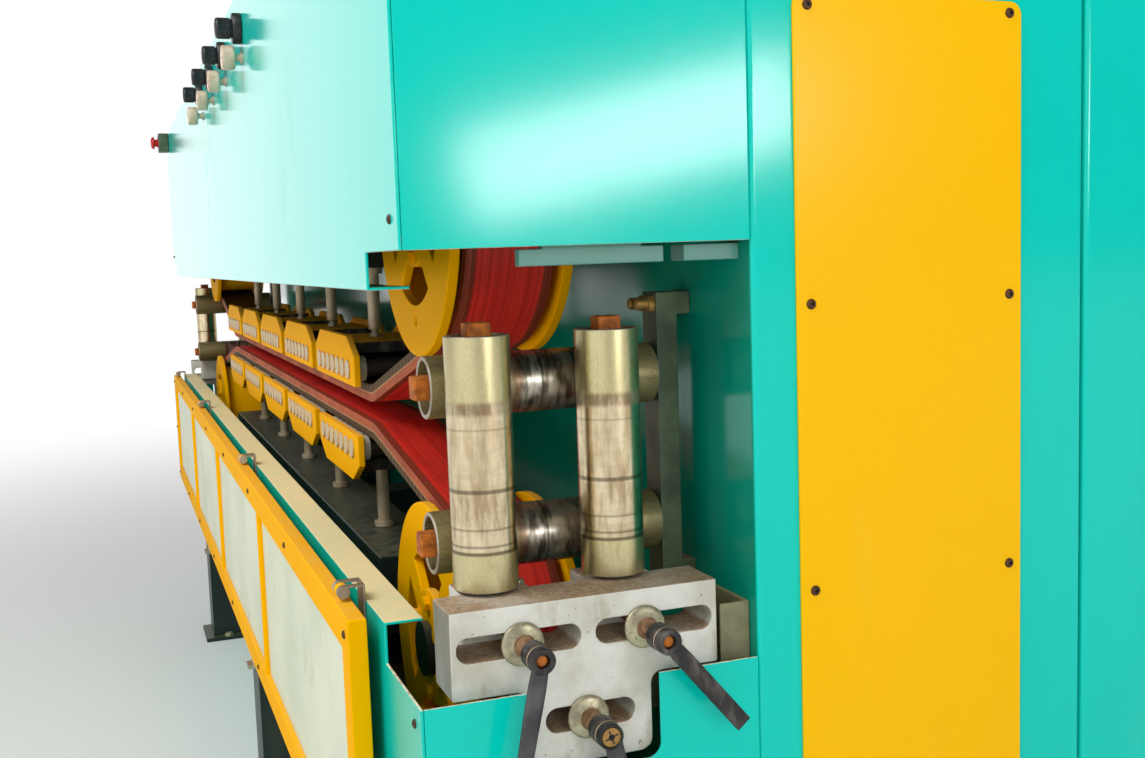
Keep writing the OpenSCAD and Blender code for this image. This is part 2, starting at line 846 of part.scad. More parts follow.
// Steel rollers that press the belts: two bearings on a sleeve, round a capped pin
module press_rollers() {
    half = carrier_width / 2;
    cap_y = half + seat_gap;
    end_y = half - carrier_plate - 1;
    color("silver") in_place() both_sides()
        for (x = carrier_places())
            for (place = roller_places()) translate([x + place, 0, roller_z]) {
                bar_y(press_roller_radius, -end_y, bearing_width - end_y);
                bar_y(press_roller_radius, end_y - bearing_width, end_y);
                bar_y(sleeve_radius, -end_y, end_y);
                bar_y(pin_radius, -cap_y - 1, cap_y + 1);
                bar_y(pin_cap_radius, -cap_y - pin_cap, -cap_y);
                bar_y(pin_cap_radius, cap_y, cap_y + pin_cap);
            }
}

// Rods with their nuts, between the carriers and the cylinders
module press_rods() {
    color("silver") in_place() both_sides()
        for (x = carrier_places()) translate([x, 0, yoke_top_z + seat_gap]) {
            cylinder(h = rod_reach - 2 * seat_gap, r = rod_radius);
            cylinder(h = rod_reach / 2, r = rod_radius * 1.6, $fn = 6);
        }
}

// Slim cylinders under the upper beam and over the lower one
module press_cylinders() {
    color("lightgray") in_place() both_sides()
        for (x = carrier_places()) translate([x, 0, cylinder_z]) {
            cylinder(h = cylinder_height - seat_gap, r = cylinder_radius);
            translate([0, 0, cylinder_height - seat_gap - cylinder_flange])
                cylinder(h = cylinder_flange, r = cylinder_radius * 1.6);
        }
}

// Dark beams that carry the press, with their arms on the cabinet
module press_beams() {
    half = beam_length / 2;
    arm_half = 40;
    arm_inset = 10;
    color("darkslategray") in_place() both_sides() {
        block([-half, -beam_width / 2, beam_z], [half, beam_width / 2, beam_z + beam_height]);
        for (x = carrier_places())
            block([x - arm_half, beam_width / 2 - 1, beam_z + arm_inset],
                [x + arm_half, cabinet_y - seat_gap, beam_z + beam_height - arm_inset]);
    }
}

// Places of the pressure regulators
function regulator_places() = [for (i = [0:regulator_count - 1])
    end_x - regulator_setback - i * regulator_pitch];

// Black regulator knobs on the hood's front wall
module regulator_knobs() {
    color("black") in_place()
        for (x = regulator_places()) translate([x, front_y, regulator_z]) {
            bar_y(knob_flange_radius, -knob_flange, -seat_gap);
            bar_y(knob_radius, -knob_flange - knob_length, -knob_flange + 1);
        }
}

// Pressure gauges below the knobs
module pressure_gauges() {
    gauge_z = regulator_z - knob_flange_radius - gauge_radius - 2;
    neck = 12;
    neck_radius = 6;
    color("tan") in_place()
        for (x = regulator_places()) translate([x, front_y, gauge_z]) {
            bar_y(gauge_radius, -neck - gauge_thickness, -neck);
            bar_y(neck_radius, -neck - 1, -seat_gap);
        }
}

// Red stop button on its box near the inlet end
module stop_button() {
    box_half = 30;
    box_depth = 32;
    cap = 11;
    color("crimson") in_place() translate([-end_x + stop_setback, front_y, cabinet_top_z - stop_drop]) {
        block([-box_half, -box_depth, -box_half], [box_half, -seat_gap, box_half]);
        bar_y(stop_radius * 0.6, cap - stop_reach, 1 - box_depth);
        bar_y(stop_radius, -stop_reach, 1 + cap - stop_reach);
    }
}

// Outline of the guide plate: a bar on a stem, with three slots
module plate_outline() {
    bar_z = plate_top_z - plate_bar;
    half = stem_width / 2;
    difference() {
        union() {
            translate([-plate_width / 2, bar_z]) rounded([plate_width, plate_bar], 2);
            translate([-half, stem_bottom_z]) rounded([stem_width, plate_bar + 10], cutout_radius - cutout_gap);
            translate([-half, stem_bottom_z + 20]) square([stem_width, bar_z - stem_bottom_z]);
            for (side = [-1, 1])
                difference() {
                    translate([side > 0 ? half : -half - stem_fillet, bar_z - stem_fillet])
                        square([stem_fillet, stem_fillet]);
                    translate([side * (half + stem_fillet), bar_z - stem_fillet]) circle(r = stem_fillet);
                }
        }
        for (side = [-1, 1])
            slot(side * slot_spacing / 2, slot_z, slot_length);
        slot(0, lower_slot_z, lower_slot_length);
    }
}

// A level slot with round ends, about its middle
module slot(y, z, length) {
    straight = length - slot_height;
    translate([y - straight / 2, z - slot_height / 2]) square([straight, slot_height]);
    for (side = [-1, 1]) translate([y + side * straight / 2, z]) circle(r = slot_height / 2);
}

// Cast guide plates just inside the end panels
module guide_plates() {
    color("gainsboro") in_place() both_ends()
        along(plate_back_x, plate_x) plate_outline();
}

// Bars that hold the guide plates on the cabinet
module plate_mounts() {
    bar = 30;
    leaf = 4;
    low_z = lower_slot_z - mount_height / 2;
    top_z = plate_top_z - mount_drop;
    wall_y = cabinet_y - seat_gap;
    color("lightslategray") in_place() both_ends() {
        block([mount_x - bar, -stem_width / 2, low_z], [mount_x, wall_y, low_z + mount_height]);
        block([plate_x - leaf, plate_width / 2 + leaf, low_z], [plate_x, wall_y, top_z]);
        block([mount_x - bar, wall_y - leaf, low_z], [plate_x, wall_y, top_z]);
    }
}

// Stud and zinc collar of a clamp lever, along X from the given start
module clamp_stud(start) {
    bar_x(stud_radius, start, lever_x + lever_hub_length - 6);
    bar_x(collar_radius, collar_x, boss_x);
    bar_x(boss_radius, boss_x - 1, boss_x + boss_length);
}

// Collars of the lower clamps, on their studs
module lower_collars() {
    color("darkkhaki") in_place() both_ends()
        translate([0, -4, lower_slot_z]) clamp_stud(mount_x + seat_gap);
}

// A carriage behind the guide plate, with its stud, collar and upright axle
module carriage(stud_y, roller_y) {
    middle = (stud_y + roller_y) / 2;
    axle_z = carriage_top_z + seat_gap;
    roller_top = carriage_top_z + roller_gap + roller_length;
    head_z = roller_top - roller_recess + 2;
    spigot = 3;
    block([carriage_x - carriage_depth, middle - carriage_width / 2, carriage_top_z - carriage_height],
        [carriage_x, middle + carriage_width / 2, carriage_top_z]);
    translate([0, stud_y, slot_z]) clamp_stud(carriage_x - 2);
    translate([upright_x, roller_y, axle_z - spigot]) cylinder(h = 2 * spigot, r = axle_radius * 0.6);
    translate([upright_x, roller_y, axle_z]) cylinder(h = head_z - axle_z + 1, r = axle_radius);
    translate([upright_x - axle_head / 2, roller_y - axle_head / 2, head_z])
        cube([axle_head, axle_head, roller_top + axle_reach - head_z]);
}

// Left carriage at the outlet
module outlet_left_carriage() {
    color("darkkhaki") in_place() carriage(left_stud_y, left_upright_y);
}

// Right carriage at the outlet
module outlet_right_carriage() {
    color("darkkhaki") in_place() carriage(right_stud_y, right_upright_y);
}

// Both carriages at the inlet
module inlet_carriages() {
    color("darkkhaki") in_place() mirror([1, 0, 0]) {
        carriage(left_stud_y, left_upright_y);
        carriage(right_stud_y, right_upright_y);
    }
}

// A tube roller standing on the origin, with recessed ends
module tube_roller() {
    rotate_extrude()
        polygon([[axle_radius + axle_play, roller_recess],
            [roller_radius - roller_wall, roller_recess], [roller_radius - roller_wall, 0],
            [roller_radius - 1, 0], [roller_radius, 1],
            [roller_radius, roller_length - 1], [roller_radius - 1, roller_length],
            [roller_radius - roller_wall, roller_length],
            [roller_radius - roller_wall, roller_length - roller_recess],
            [axle_radius + axle_play, roller_length - roller_recess]]);
}

// An upright roller on its carriage
module upright_roller(y) {
    color("silver") translate([upright_x, y, carriage_top_z + roller_gap]) tube_roller();
}

// A level roller on its axle, above (side 1) or below (side -1) the cable
module level_roller(side) {
    color("silver")
        translate([level_x, level_end_y, level_mid_z + side * level_spacing / 2])
            rotate([-90, 0, 0]) tube_roller();
}

// Left upright roller at the outlet
module outlet_left_roller() {
    in_place() upright_roller(left_upright_y);
}

// Right upright roller at the outlet
module outlet_right_roller() {
    in_place() upright_roller(right_upright_y);
}

// Upper level roller at the outlet
module outlet_top_roller() {
    in_place() level_roller(1);
}

// Lower level roller at the outlet
module outlet_bottom_roller() {
    in_place() level_roller(-1);
}

// Left upright roller at the inlet
module inlet_left_roller() {
    in_place() mirror([1, 0, 0]) upright_roller(left_upright_y);
}

// Right upright roller at the inlet
module inlet_right_roller() {
    in_place() mirror([1, 0, 0]) upright_roller(right_upright_y);
}

// Upper level roller at the inlet
module inlet_top_roller() {
    in_place() mirror([1, 0, 0]) level_roller(1);
}

// Lower level roller at the inlet
module inlet_bottom_roller() {
    in_place() mirror([1, 0, 0]) level_roller(-1);
}

// Brackets bent from flat bar that hold the level rollers on the cabinet
module roller_brackets() {
    low_x = level_x - bracket_depth / 2;
    high_x = level_x + bracket_depth / 2;
    color("slategray") in_place() both_ends()
        difference() {
            union() {
                block([low_x, bracket_y, bracket_bottom_z], [high_x, bracket_y + bracket_bar, bracket_top_z]);
                for (z = [bracket_bottom_z, bracket_top_z - bracket_bar])
                    block([low_x, bracket_y, z], [high_x, cabinet_y - seat_gap, z + bracket_bar]);
            }
            for (side = [-1, 1])
                translate([level_x, 0, level_mid_z + side * level_spacing / 2])
                    bar_y(axle_radius - 2, bracket_y - 1, bracket_y + bracket_bar + 1);
        }
}

// Fixed axles of the level rollers, with their square heads
module level_axles() {
    color("sienna") in_place() both_ends()
        for (side = [-1, 1])
            translate([level_x, 0, level_mid_z + side * level_spacing / 2]) {
                bar_y(axle_radius, level_end_y, bracket_y - seat_gap);
                bar_y(axle_radius - 2 - seat_gap / 2, bracket_y - 1, bracket_y + bracket_bar);
                translate([-axle_head / 2, level_end_y - axle_reach, -axle_head / 2])
                    cube([axle_head, axle_reach + roller_recess - 2, axle_head]);
            }
}

// A black clamp lever on its stud, sloping by angle from straight down
module clamp_lever(y, z, angle) {
    color("black") translate([0, y, z])
        difference() {
            union() {
                bar_x(lever_hub_radius, lever_x, lever_x + lever_hub_length);
                rotate([angle, 0, 0]) along(lever_arm_x, lever_arm_x + lever_thickness) {
                    translate([-lever_width / 2, -lever_length]) square([lever_width, lever_length]);
                    translate([0, -lever_length]) circle(r = lever_width / 2);
                }
            }
            bar_x(stud_radius + axle_play, lever_x - 1, lever_x + lever_hub_length + 1);
        }
}

// Left lever at the outlet
module outlet_left_lever() {
    in_place() clamp_lever(left_stud_y, slot_z, -left_lever_angle);
}

// Right lever at the outlet
module outlet_right_lever() {
    in_place() clamp_lever(right_stud_y, slot_z, right_lever_angle);
}

// Lower lever at the outlet
module outlet_lower_lever() {
    in_place() clamp_lever(-4, lower_slot_z, lower_lever_angle);
}

// The three levers at the inlet
module inlet_levers() {
    in_place() mirror([1, 0, 0]) {
        clamp_lever(left_stud_y, slot_z, -left_lever_angle);
        clamp_lever(right_stud_y, slot_z, right_lever_angle);
        clamp_lever(-4, lower_slot_z, lower_lever_angle);
    }
}

base_frame();
cabinet_front();
cabinet_rear();
rear_panels();
cover_plates();
hood_front();
hood_ends();
hood_top();
hood_lips();
tray_front();
tray_ends();
tray_floor();
guard_frame();
guard_panels();
guard_latches();
guard_hinges();
upper_belt();
lower_belt();
outlet_upper_drum();
outlet_lower_drum();
inlet_upper_drum();
inlet_lower_drum();
drum_shafts();
press_carriers();
press_rollers();
press_rods();
press_cylinders();
press_beams();
regulator_knobs();
pressure_gauges();
stop_button();
guide_plates();
plate_mounts();
roller_brackets();
level_axles();
lower_collars();
outlet_left_carriage();
outlet_right_carriage();
inlet_carriages();
outlet_left_roller();
outlet_right_roller();
outlet_top_roller();
outlet_bottom_roller();
inlet_left_roller();
inlet_right_roller();
inlet_top_roller();
inlet_bottom_roller();
outlet_left_lever();
outlet_right_lever();
outlet_lower_lever();
inlet_levers();
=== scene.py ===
import json
import math
import random

import bmesh
import bpy
from mathutils import Matrix, Vector


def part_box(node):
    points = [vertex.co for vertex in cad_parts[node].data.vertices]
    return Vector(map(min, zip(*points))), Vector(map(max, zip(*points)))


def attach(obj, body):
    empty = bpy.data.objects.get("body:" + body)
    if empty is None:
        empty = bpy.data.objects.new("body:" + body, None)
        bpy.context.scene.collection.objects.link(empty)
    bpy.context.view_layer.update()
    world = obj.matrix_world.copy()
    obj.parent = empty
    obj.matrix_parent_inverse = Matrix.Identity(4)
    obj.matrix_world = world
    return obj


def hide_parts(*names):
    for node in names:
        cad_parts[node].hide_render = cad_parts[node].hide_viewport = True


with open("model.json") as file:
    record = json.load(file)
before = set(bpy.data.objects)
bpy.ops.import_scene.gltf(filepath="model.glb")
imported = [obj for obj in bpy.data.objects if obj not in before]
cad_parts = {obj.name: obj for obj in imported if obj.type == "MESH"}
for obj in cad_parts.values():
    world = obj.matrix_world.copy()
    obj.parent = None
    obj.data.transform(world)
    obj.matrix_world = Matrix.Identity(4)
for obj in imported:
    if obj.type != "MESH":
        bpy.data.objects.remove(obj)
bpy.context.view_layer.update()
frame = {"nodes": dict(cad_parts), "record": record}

random.seed(7)
print("loaded", len(frame["nodes"]), "nodes")

bodyOf = {node: body for body, nodes in frame["record"]["behaviour"]["bodies"].items() for node in nodes}
slotOf = {part["node"]: part["material_slot"] for part in frame["record"]["subparts"]}
endOf = {"outlet": 1, "inlet": -1}


def centre(node):
    low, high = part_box(node)
    return (low + high) / 2


# Places that the pieces share, in metres, worked out from the frame

beltLow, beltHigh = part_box("upper_belt")
hoodLow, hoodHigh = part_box("hood_ends")
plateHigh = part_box("guide_plates")[1]

beltY = centre("upper_belt").y
drumX = centre("outlet_upper_drum").x
passZ = (beltLow.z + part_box("lower_belt")[1].z) / 2
endX = hoodHigh.x
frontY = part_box("hood_front")[0].y
plateX = plateHigh.x
plateDepth = 0.060
seat = 0.0003  # the gap between pieces that are screwed together
beltThick = 0.026
mirrorX = Matrix.Scale(-1, 4, Vector((1, 0, 0)))
straight = 0.9  # a face looks one way when this share of its direction does
slanted = 0.7
forward = (0, -1, 0)


def linear(red, green, blue):  # a colour given as 0 to 255, as the shader wants it
    def channel(value):
        value /= 255
        return value / 12.92 if value <= 0.04045 else ((value + 0.055) / 1.055) ** 2.4
    return (channel(red), channel(green), channel(blue), 1.0)


# Shader maths as Python expressions

def operator(operation):
    return lambda self, *others: self.math(operation, *others)


class Value:
    def __init__(self, graph, socket):
        self.graph = graph
        self.socket = socket

    def math(self, operation, *others):
        return self.graph.node("ShaderNodeMath", {"operation": operation}, dict(enumerate((self, *others))))

    __add__ = __radd__ = operator("ADD")
    __sub__ = operator("SUBTRACT")
    __mul__ = __rmul__ = operator("MULTIPLY")
    __pow__ = operator("POWER")
    larger = operator("MAXIMUM")
    sine = operator("SINE")
    absolute = operator("ABSOLUTE")

    def __rsub__(self, other):
        return self.graph.node("ShaderNodeMath", {"operation": "SUBTRACT"}, {0: other, 1: self})

    def step(self, low, high):  # 0 below low, 1 above high, smooth between
        return self.graph.node("ShaderNodeMapRange", {"interpolation_type": "SMOOTHSTEP", "clamp": True},
            {"Value": self, "From Min": low, "From Max": high})

    def band(self, low, high, soft):  # 1 between low and high
        return self.step(low - soft, low + soft) * (1 - self.step(high - soft, high + soft))


class Graph:
    def __init__(self, tree):
        self.tree = tree

    def node(self, kind, settings=None, inputs=None, output=0):
        made = self.tree.nodes.new(kind)
        for key, value in (settings or {}).items():
            setattr(made, key, value)
        for key, value in (inputs or {}).items():
            if isinstance(value, Value):
                self.tree.links.new(value.socket, made.inputs[key])
            else:
                made.inputs[key].default_value = value
        return Value(self, made.outputs[output]) if made.outputs else None


class Finish(Graph):
    def __init__(self, name):
        self.material = bpy.data.materials.new(name)
        self.material.use_nodes = True
        super().__init__(self.material.node_tree)
        self.tree.nodes.clear()

    def carried(self, name, output):  # what the mesh carries under this name
        return self.node("ShaderNodeAttribute", {"attribute_name": name}, output=output)

    def place(self, stretch=(1, 1, 1), turned=False):
        if turned:
            source = self.carried("turned", "Vector")
        else:
            source = self.node("ShaderNodeTexCoord", output="Object")
        return self.node("ShaderNodeMapping", inputs={"Vector": source, "Scale": stretch})

    def axis(self, name, turned=False):
        return self.node("ShaderNodeSeparateXYZ", inputs={"Vector": self.place(turned=turned)}, output=name)

    def facing(self, name):  # a component of the surface's own direction
        normal = self.node("ShaderNodeNewGeometry", output="Normal")
        return self.node("ShaderNodeSeparateXYZ", inputs={"Vector": normal}, output=name)

    def noise(self, scale, detail=3.0, rough=0.55, stretch=(1, 1, 1), turned=False):
        inputs = {"Vector": self.place(stretch, turned), "Scale": scale, "Detail": detail, "Roughness": rough}
        if turned:  # pieces of one kind differ by their own number
            inputs["W"] = self.carried("variety", "Fac")
        return self.node("ShaderNodeTexNoise", {"noise_dimensions": "4D" if turned else "3D"}, inputs)

    def turnedNoise(self, scale, detail, *stretch):
        return self.noise(scale, detail, stretch=stretch, turned=True)

    def mix(self, factor, first, second):  # a colour of three numbers counts from 0 to 255
        first, second = (linear(*colour) if isinstance(colour, tuple) and len(colour) == 3 else colour
            for colour in (first, second))
        return self.node("ShaderNodeMix", {"data_type": "RGBA"}, {0: factor, 6: first, 7: second}, output=2)

    def close(self, base, rough, height=None, depth=0.0, **others):
        inputs = {"Base Color": base, "Roughness": rough}
        if height:
            inputs["Normal"] = self.node("ShaderNodeBump", inputs={"Height": height, "Distance": depth})
        inputs.update({key.replace("_", " "): value for key, value in others.items()})
        surface = self.node("ShaderNodeBsdfPrincipled", inputs=inputs, output="BSDF")
        self.node("ShaderNodeOutputMaterial", inputs={"Surface": surface})
        return self.material


# Finishes

def enamel(name, colour, shade, peel=0.00002, gloss=0.10, dust=0.25, shine=0.25, floor=0.35,
        grime=(200, 184, 140)):
    # dust is how much grime lies on the level faces, and floor the share of it that lies everywhere
    paint = Finish(name)
    speckle = paint.noise(60.0, 3.0)
    smudge = paint.noise(7.0, 5.0, stretch=(1.0, 1.0, 0.35)).step(0.58, 0.80)
    base = paint.mix(paint.noise(3.0, 4.0).step(0.35, 0.7) * 0.35, colour, shade)
    upward = paint.facing("Z").step(0.75, 0.95)
    dirt = upward * (floor + (1 - floor) * speckle.step(0.35, 0.65)) * dust + smudge * 0.05
    base = paint.mix(dirt, base, grime)
    rough = gloss + 0.06 * speckle + 0.10 * smudge + 0.45 * dirt
    return paint.close(base, rough, paint.noise(260.0, 2.0, 0.5), peel, Specular_IOR_Level=shine)


def bareEdge():
    edge = Finish("bareEdge")
    speckle = edge.noise(90.0, 3.0)
    base = edge.mix(speckle.step(0.4, 0.7), (232, 222, 196), (176, 150, 112))
    return edge.close(base, 0.55, speckle, 0.0002)


def creamSheet():
    sheet = Finish("creamSheet")
    speckle = sheet.noise(120.0, 2.0)
    base = sheet.mix(sheet.noise(5.0, 4.0).step(0.3, 0.7), (226, 230, 204), (206, 214, 186))
    base = sheet.mix(sheet.noise(14.0, 5.0).step(0.58, 0.75) * 0.5, base, (186, 172, 130))
    return sheet.close(base, 0.34 + 0.15 * speckle, speckle, 0.0001)


def beltRubber():
    belt = Finish("beltRubber")
    across = belt.axis("X", turned=True).absolute()  # 0 in the middle, 1 at an edge
    through = belt.axis("Y", turned=True)  # -1 on the inner face, 1 on the outer one
    along = belt.axis("Z", turned=True)  # metres round the loop
    streak = belt.turnedNoise(5.0, 5.0, 2.4, 0.2, 0.30)
    lines = belt.turnedNoise(16.0, 3.0, 3.0, 0.2, 0.06)
    worn = belt.noise(9.0, 5.0)
    fibre = belt.noise(420.0, 2.0)
    base = belt.mix(streak.step(0.38, 0.62), (238, 58, 44), (208, 40, 32))
    base = belt.mix(worn.step(0.50, 0.72) * 0.35, base, (136, 36, 26))
    base = belt.mix(lines.step(0.58, 0.66) * 0.4, base, (110, 26, 20))
    edging = belt.mix(lines.step(0.40, 0.60), (150, 74, 46), (84, 44, 28))
    base = belt.mix(across.step(0.74, 0.82) * (0.72 + 0.28 * streak), base, edging)
    # stripes of painted light and shade along the inner layer, standing in for teeth
    paintedTeethShade = (along * 314.0).sine().step(-0.3, 0.5)
    inner = belt.mix(paintedTeethShade, (76, 58, 38), (104, 82, 52))
    cover = belt.mix(worn.step(0.35, 0.65), (206, 104, 60), (162, 82, 50))
    plies = (through * 22.0).sine().step(-0.1, 0.5)
    cover = belt.mix(plies * 0.35, cover, (120, 60, 40))
    layers = belt.mix(through.step(-0.12, -0.06), inner, (190, 142, 98))
    layers = belt.mix(through.step(0.04, 0.12), layers, cover)
    side = belt.facing("Y").absolute().step(0.6, 0.9)
    base = belt.mix(side, base, layers)
    base = belt.mix(1 - through.step(-0.96, -0.88), base, (58, 42, 30))
    height = fibre * 0.4 + lines * (1 - side) + plies * side * 0.5
    return belt.close(base, 0.40 + 0.20 * streak + 0.2 * side, height, 0.0005, Specular_IOR_Level=0.3)


def rollerNoises(steel):  # grain, bands round the roller, and smears
    return (steel.turnedNoise(7.0, 4.0, 16.0, 16.0, 9.0), steel.turnedNoise(12.0, 3.0, 0.1, 0.1, 2.4),
        steel.turnedNoise(2.2, 4.0, 1.8, 1.8, 3.0))


def rollerSteel():
    steel = Finish("rollerSteel")
    along = steel.axis("Z", turned=True)  # 0 at the roller's foot, 1 at its head
    grain, bands, smear = rollerNoises(steel)
    plating = steel.mix(grain.step(0.30, 0.75), (214, 204, 158), (184, 172, 128))
    plating = steel.mix(smear.step(0.50, 0.70) * 0.30, plating, (140, 126, 90))
    shiny = steel.mix(smear.step(0.30, 0.70), (230, 214, 180), (192, 172, 134))
    shiny = steel.mix(bands.step(0.45, 0.70) * 0.22, shiny, (150, 130, 98))
    ends = 1 - along.band(0.16, 0.735, 0.014)
    base = steel.mix(ends, shiny, plating)
    stain = along.band(0.695, 0.745, 0.012) * (0.45 + 0.55 * smear.step(0.35, 0.6))
    base = steel.mix(stain * 0.75, base, (112, 88, 58))
    base = steel.mix(along.band(0.20, 0.44, 0.04) * smear.step(0.46, 0.66) * 0.4, base, (142, 112, 82))
    rings = 0.0
    for low, high, share in ((0.150, 0.164, 0.75), (0.180, 0.190, 0.55), (0.246, 0.256, 0.45),
            (0.392, 0.408, 0.65), (0.636, 0.644, 0.3)):
        rings = along.band(low, high, 0.004) * share + rings
    base = steel.mix(rings, base, (66, 58, 42))
    rough = 0.20 + 0.08 * grain + 0.06 * ends + 0.15 * stain
    return steel.close(base, rough, bands * 0.4 + grain * 0.3 - rings * 0.5, 0.00006,
        Metallic=1.0 - 0.08 * ends - 0.4 * stain)


def darkRollerSteel():
    steel = Finish("darkRollerSteel")
    along = steel.axis("Z", turned=True)
    grain, bands, smear = rollerNoises(steel)
    dull = steel.mix(grain.step(0.3, 0.7), (158, 148, 102), (112, 100, 66))
    dull = steel.mix(smear.step(0.45, 0.7) * 0.4, dull, (78, 66, 44))
    shiny = steel.mix(bands.step(0.40, 0.65), (184, 178, 164), (96, 88, 76))
    middle = along.band(0.36, 0.80, 0.03)
    base = steel.mix(middle, dull, shiny)
    base = steel.mix(along.band(0.345, 0.385, 0.012) * (0.4 + 0.6 * smear), base, (104, 66, 40))
    base = steel.mix(along.band(0.468, 0.478, 0.003) * 0.6, base, (50, 44, 38))
    rough = 0.42 + 0.14 * grain - 0.14 * middle
    return steel.close(base, rough, bands * 0.4 + grain * 0.3, 0.00006, Metallic=0.55 + 0.35 * middle)


def zincPlate():
    metal = Finish("zincPlate")
    patches = metal.noise(70.0, 4.0)
    spots = metal.noise(240.0, 3.0)
    base = metal.mix(patches.step(0.35, 0.65), (190, 184, 152), (150, 144, 120))
    base = metal.mix(spots.step(0.60, 0.70) * 0.7, base, (112, 82, 52))
    return metal.close(base, 0.34 + 0.2 * patches, spots, 0.00015, Metallic=0.75)


def rust(name="rust", light=(176, 104, 52), dark=(96, 54, 30)):
    rusty = Finish(name)
    patches = rusty.noise(110.0, 5.0)
    grains = rusty.noise(520.0, 3.0)
    base = rusty.mix(patches.step(0.35, 0.7), light, dark)
    return rusty.close(base, 0.62 + 0.2 * grains, patches + grains * 0.5, 0.0004, Metallic=0.15)


def pressSteel():
    steel = Finish("pressSteel")
    along = steel.axis("Z", turned=True)  # 0 and 1 at the two caps
    grain = steel.turnedNoise(14.0, 4.0, 4.0, 4.0, 1.0)
    sleeve = along.band(0.195, 0.805, 0.002)
    base = steel.mix(grain.step(0.35, 0.7), (232, 226, 210), (188, 178, 156))
    cap = steel.mix(grain.step(0.4, 0.6), (232, 216, 180), (186, 164, 124))
    base = steel.mix(1 - along.band(0.024, 0.976, 0.002), base, cap)
    base = steel.mix(sleeve, base, (70, 62, 54))
    return steel.close(base, 0.34 + 0.2 * grain, grain, 0.0002, Metallic=0.30 + 0.2 * sleeve)


def screwSteel(name, light, dark, metal):
    screw = Finish(name)
    grains = screw.noise(600.0, 4.0)
    base = screw.mix(grains.step(0.35, 0.7), light, dark)
    base = screw.mix(screw.carried("variety", "Fac"), base, (24, 18, 14))  # painted shade inside the socket
    return screw.close(base, 0.40 + 0.25 * grains, grains, 0.0002, Metallic=metal)


def paleCasting():
    cast = Finish("paleCasting")
    patches = cast.noise(16.0, 6.0)
    grains = cast.noise(240.0, 4.0)
    base = cast.mix(patches.step(0.35, 0.7), (226, 226, 216), (192, 190, 174))
    smears = cast.noise(26.0, 6.0, stretch=(1.0, 1.0, 0.5))
    base = cast.mix(smears.step(0.56, 0.72) * 0.55, base, (150, 134, 100))
    upward = cast.facing("Z").step(0.45, 0.8)
    dust = cast.mix(grains.step(0.3, 0.7), (176, 150, 120), (136, 110, 82))
    base = cast.mix(upward * (0.72 + 0.28 * patches.step(0.3, 0.6)), base, dust)
    chips = cast.noise(130.0, 3.0).step(0.70, 0.74)
    base = cast.mix(chips * 0.7, base, (104, 84, 60))
    return cast.close(base, 0.5 + 0.3 * upward, grains + patches * 1.5, 0.0005)


def steelBar(name, colour, shade, metal=0.0):
    bar = Finish(name)
    patches = bar.noise(24.0, 5.0)
    grains = bar.noise(260.0, 3.0)
    base = bar.mix(patches.step(0.3, 0.7), colour, shade)
    base = bar.mix(bar.facing("Z").step(0.6, 0.9) * 0.7, base, (150, 128, 98))
    base = bar.mix(grains.step(0.64, 0.72) * 0.5, base, (96, 72, 48))
    return bar.close(base, 0.42 + 0.2 * patches, grains, 0.0002, Metallic=metal)


def blackOxide():
    black = Finish("blackOxide")
    patches = black.noise(60.0, 5.0, stretch=(1.0, 1.0, 0.4))
    grains = black.noise(400.0, 3.0)
    base = black.mix(patches.step(0.45, 0.72) * 0.8, (38, 36, 36), (112, 106, 100))
    base = black.mix(grains.step(0.66, 0.74) * 0.6, base, (120, 82, 52))
    return black.close(base, 0.36 + 0.2 * grains, grains + patches, 0.0003, Metallic=0.35)


def plastic(name, colour, shade, rough):
    moulded = Finish(name)
    grains = moulded.noise(300.0, 3.0)
    base = moulded.mix(moulded.noise(40.0, 4.0).step(0.4, 0.7), colour, shade)
    return moulded.close(base, rough + 0.12 * grains, grains, 0.00008)


teal = enamel("tealEnamel", (0, 208, 192), (0, 198, 182))
# a darker copy of the teal for the cabinet's front wall in the recess: painted shade
paintedShadeTeal = enamel("paintedShadeTeal", (0, 150, 126), (0, 138, 114), dust=0.4)
lipTeal = enamel("lipTeal", (96, 150, 138), (82, 134, 122), gloss=0.3)
dustyTeal = enamel("dustyTeal", (0, 206, 188), (0, 190, 172), dust=1.0, gloss=0.2, floor=0.92,
    grime=(236, 220, 166))
yellow = enamel("yellowEnamel", (255, 194, 0), (254, 188, 0), peel=0.00001, gloss=0.2, shine=0.10)
orange = enamel("orangeEnamel", (255, 184, 0), (244, 166, 0), peel=0.00004, gloss=0.5, dust=0.2, shine=0.01)
darkGreen = enamel("darkEnamel", (38, 52, 48), (24, 32, 30), gloss=0.35, dust=0.15)
edgePale = bareEdge()
cream = creamSheet()
rubber = beltRubber()
roller = rollerSteel()
darkRoller = darkRollerSteel()
zinc = zincPlate()
rusted = rust()
brownBoss = rust("brownBoss", (150, 116, 82), (98, 68, 44))
squareHead = rust("squareHead", (196, 110, 28), (136, 70, 18))
casting = paleCasting()
brass = steelBar("brass", (176, 138, 74), (128, 92, 48), metal=0.6)
greyGreen = steelBar("greyGreen", (86, 100, 74), (60, 72, 54))
sideSteel = steelBar("sideSteel", (132, 130, 94), (100, 96, 68))
cylinderSteel = steelBar("cylinderSteel", (224, 206, 172), (192, 174, 142), metal=0.3)
bareSteel = steelBar("bareSteel", (206, 196, 178), (150, 140, 124), metal=0.7)
paleWear = steelBar("paleWear", (232, 206, 172), (196, 166, 130), metal=0.5)
wornBlack = steelBar("wornBlack", (50, 52, 56), (92, 90, 90), metal=0.6)
pressRoller = pressSteel()
brownScrew = screwSteel("brownScrew", (96, 62, 36), (54, 34, 22), 0.5)
zincScrew = screwSteel("zincScrew", (196, 188, 160), (140, 130, 104), 0.7)
oxide = blackOxide()
blackPlastic = plastic("blackPlastic", (22, 24, 26), (34, 36, 38), 0.35)
redPlastic = plastic("redPlastic", (206, 24, 20), (178, 16, 14), 0.22)
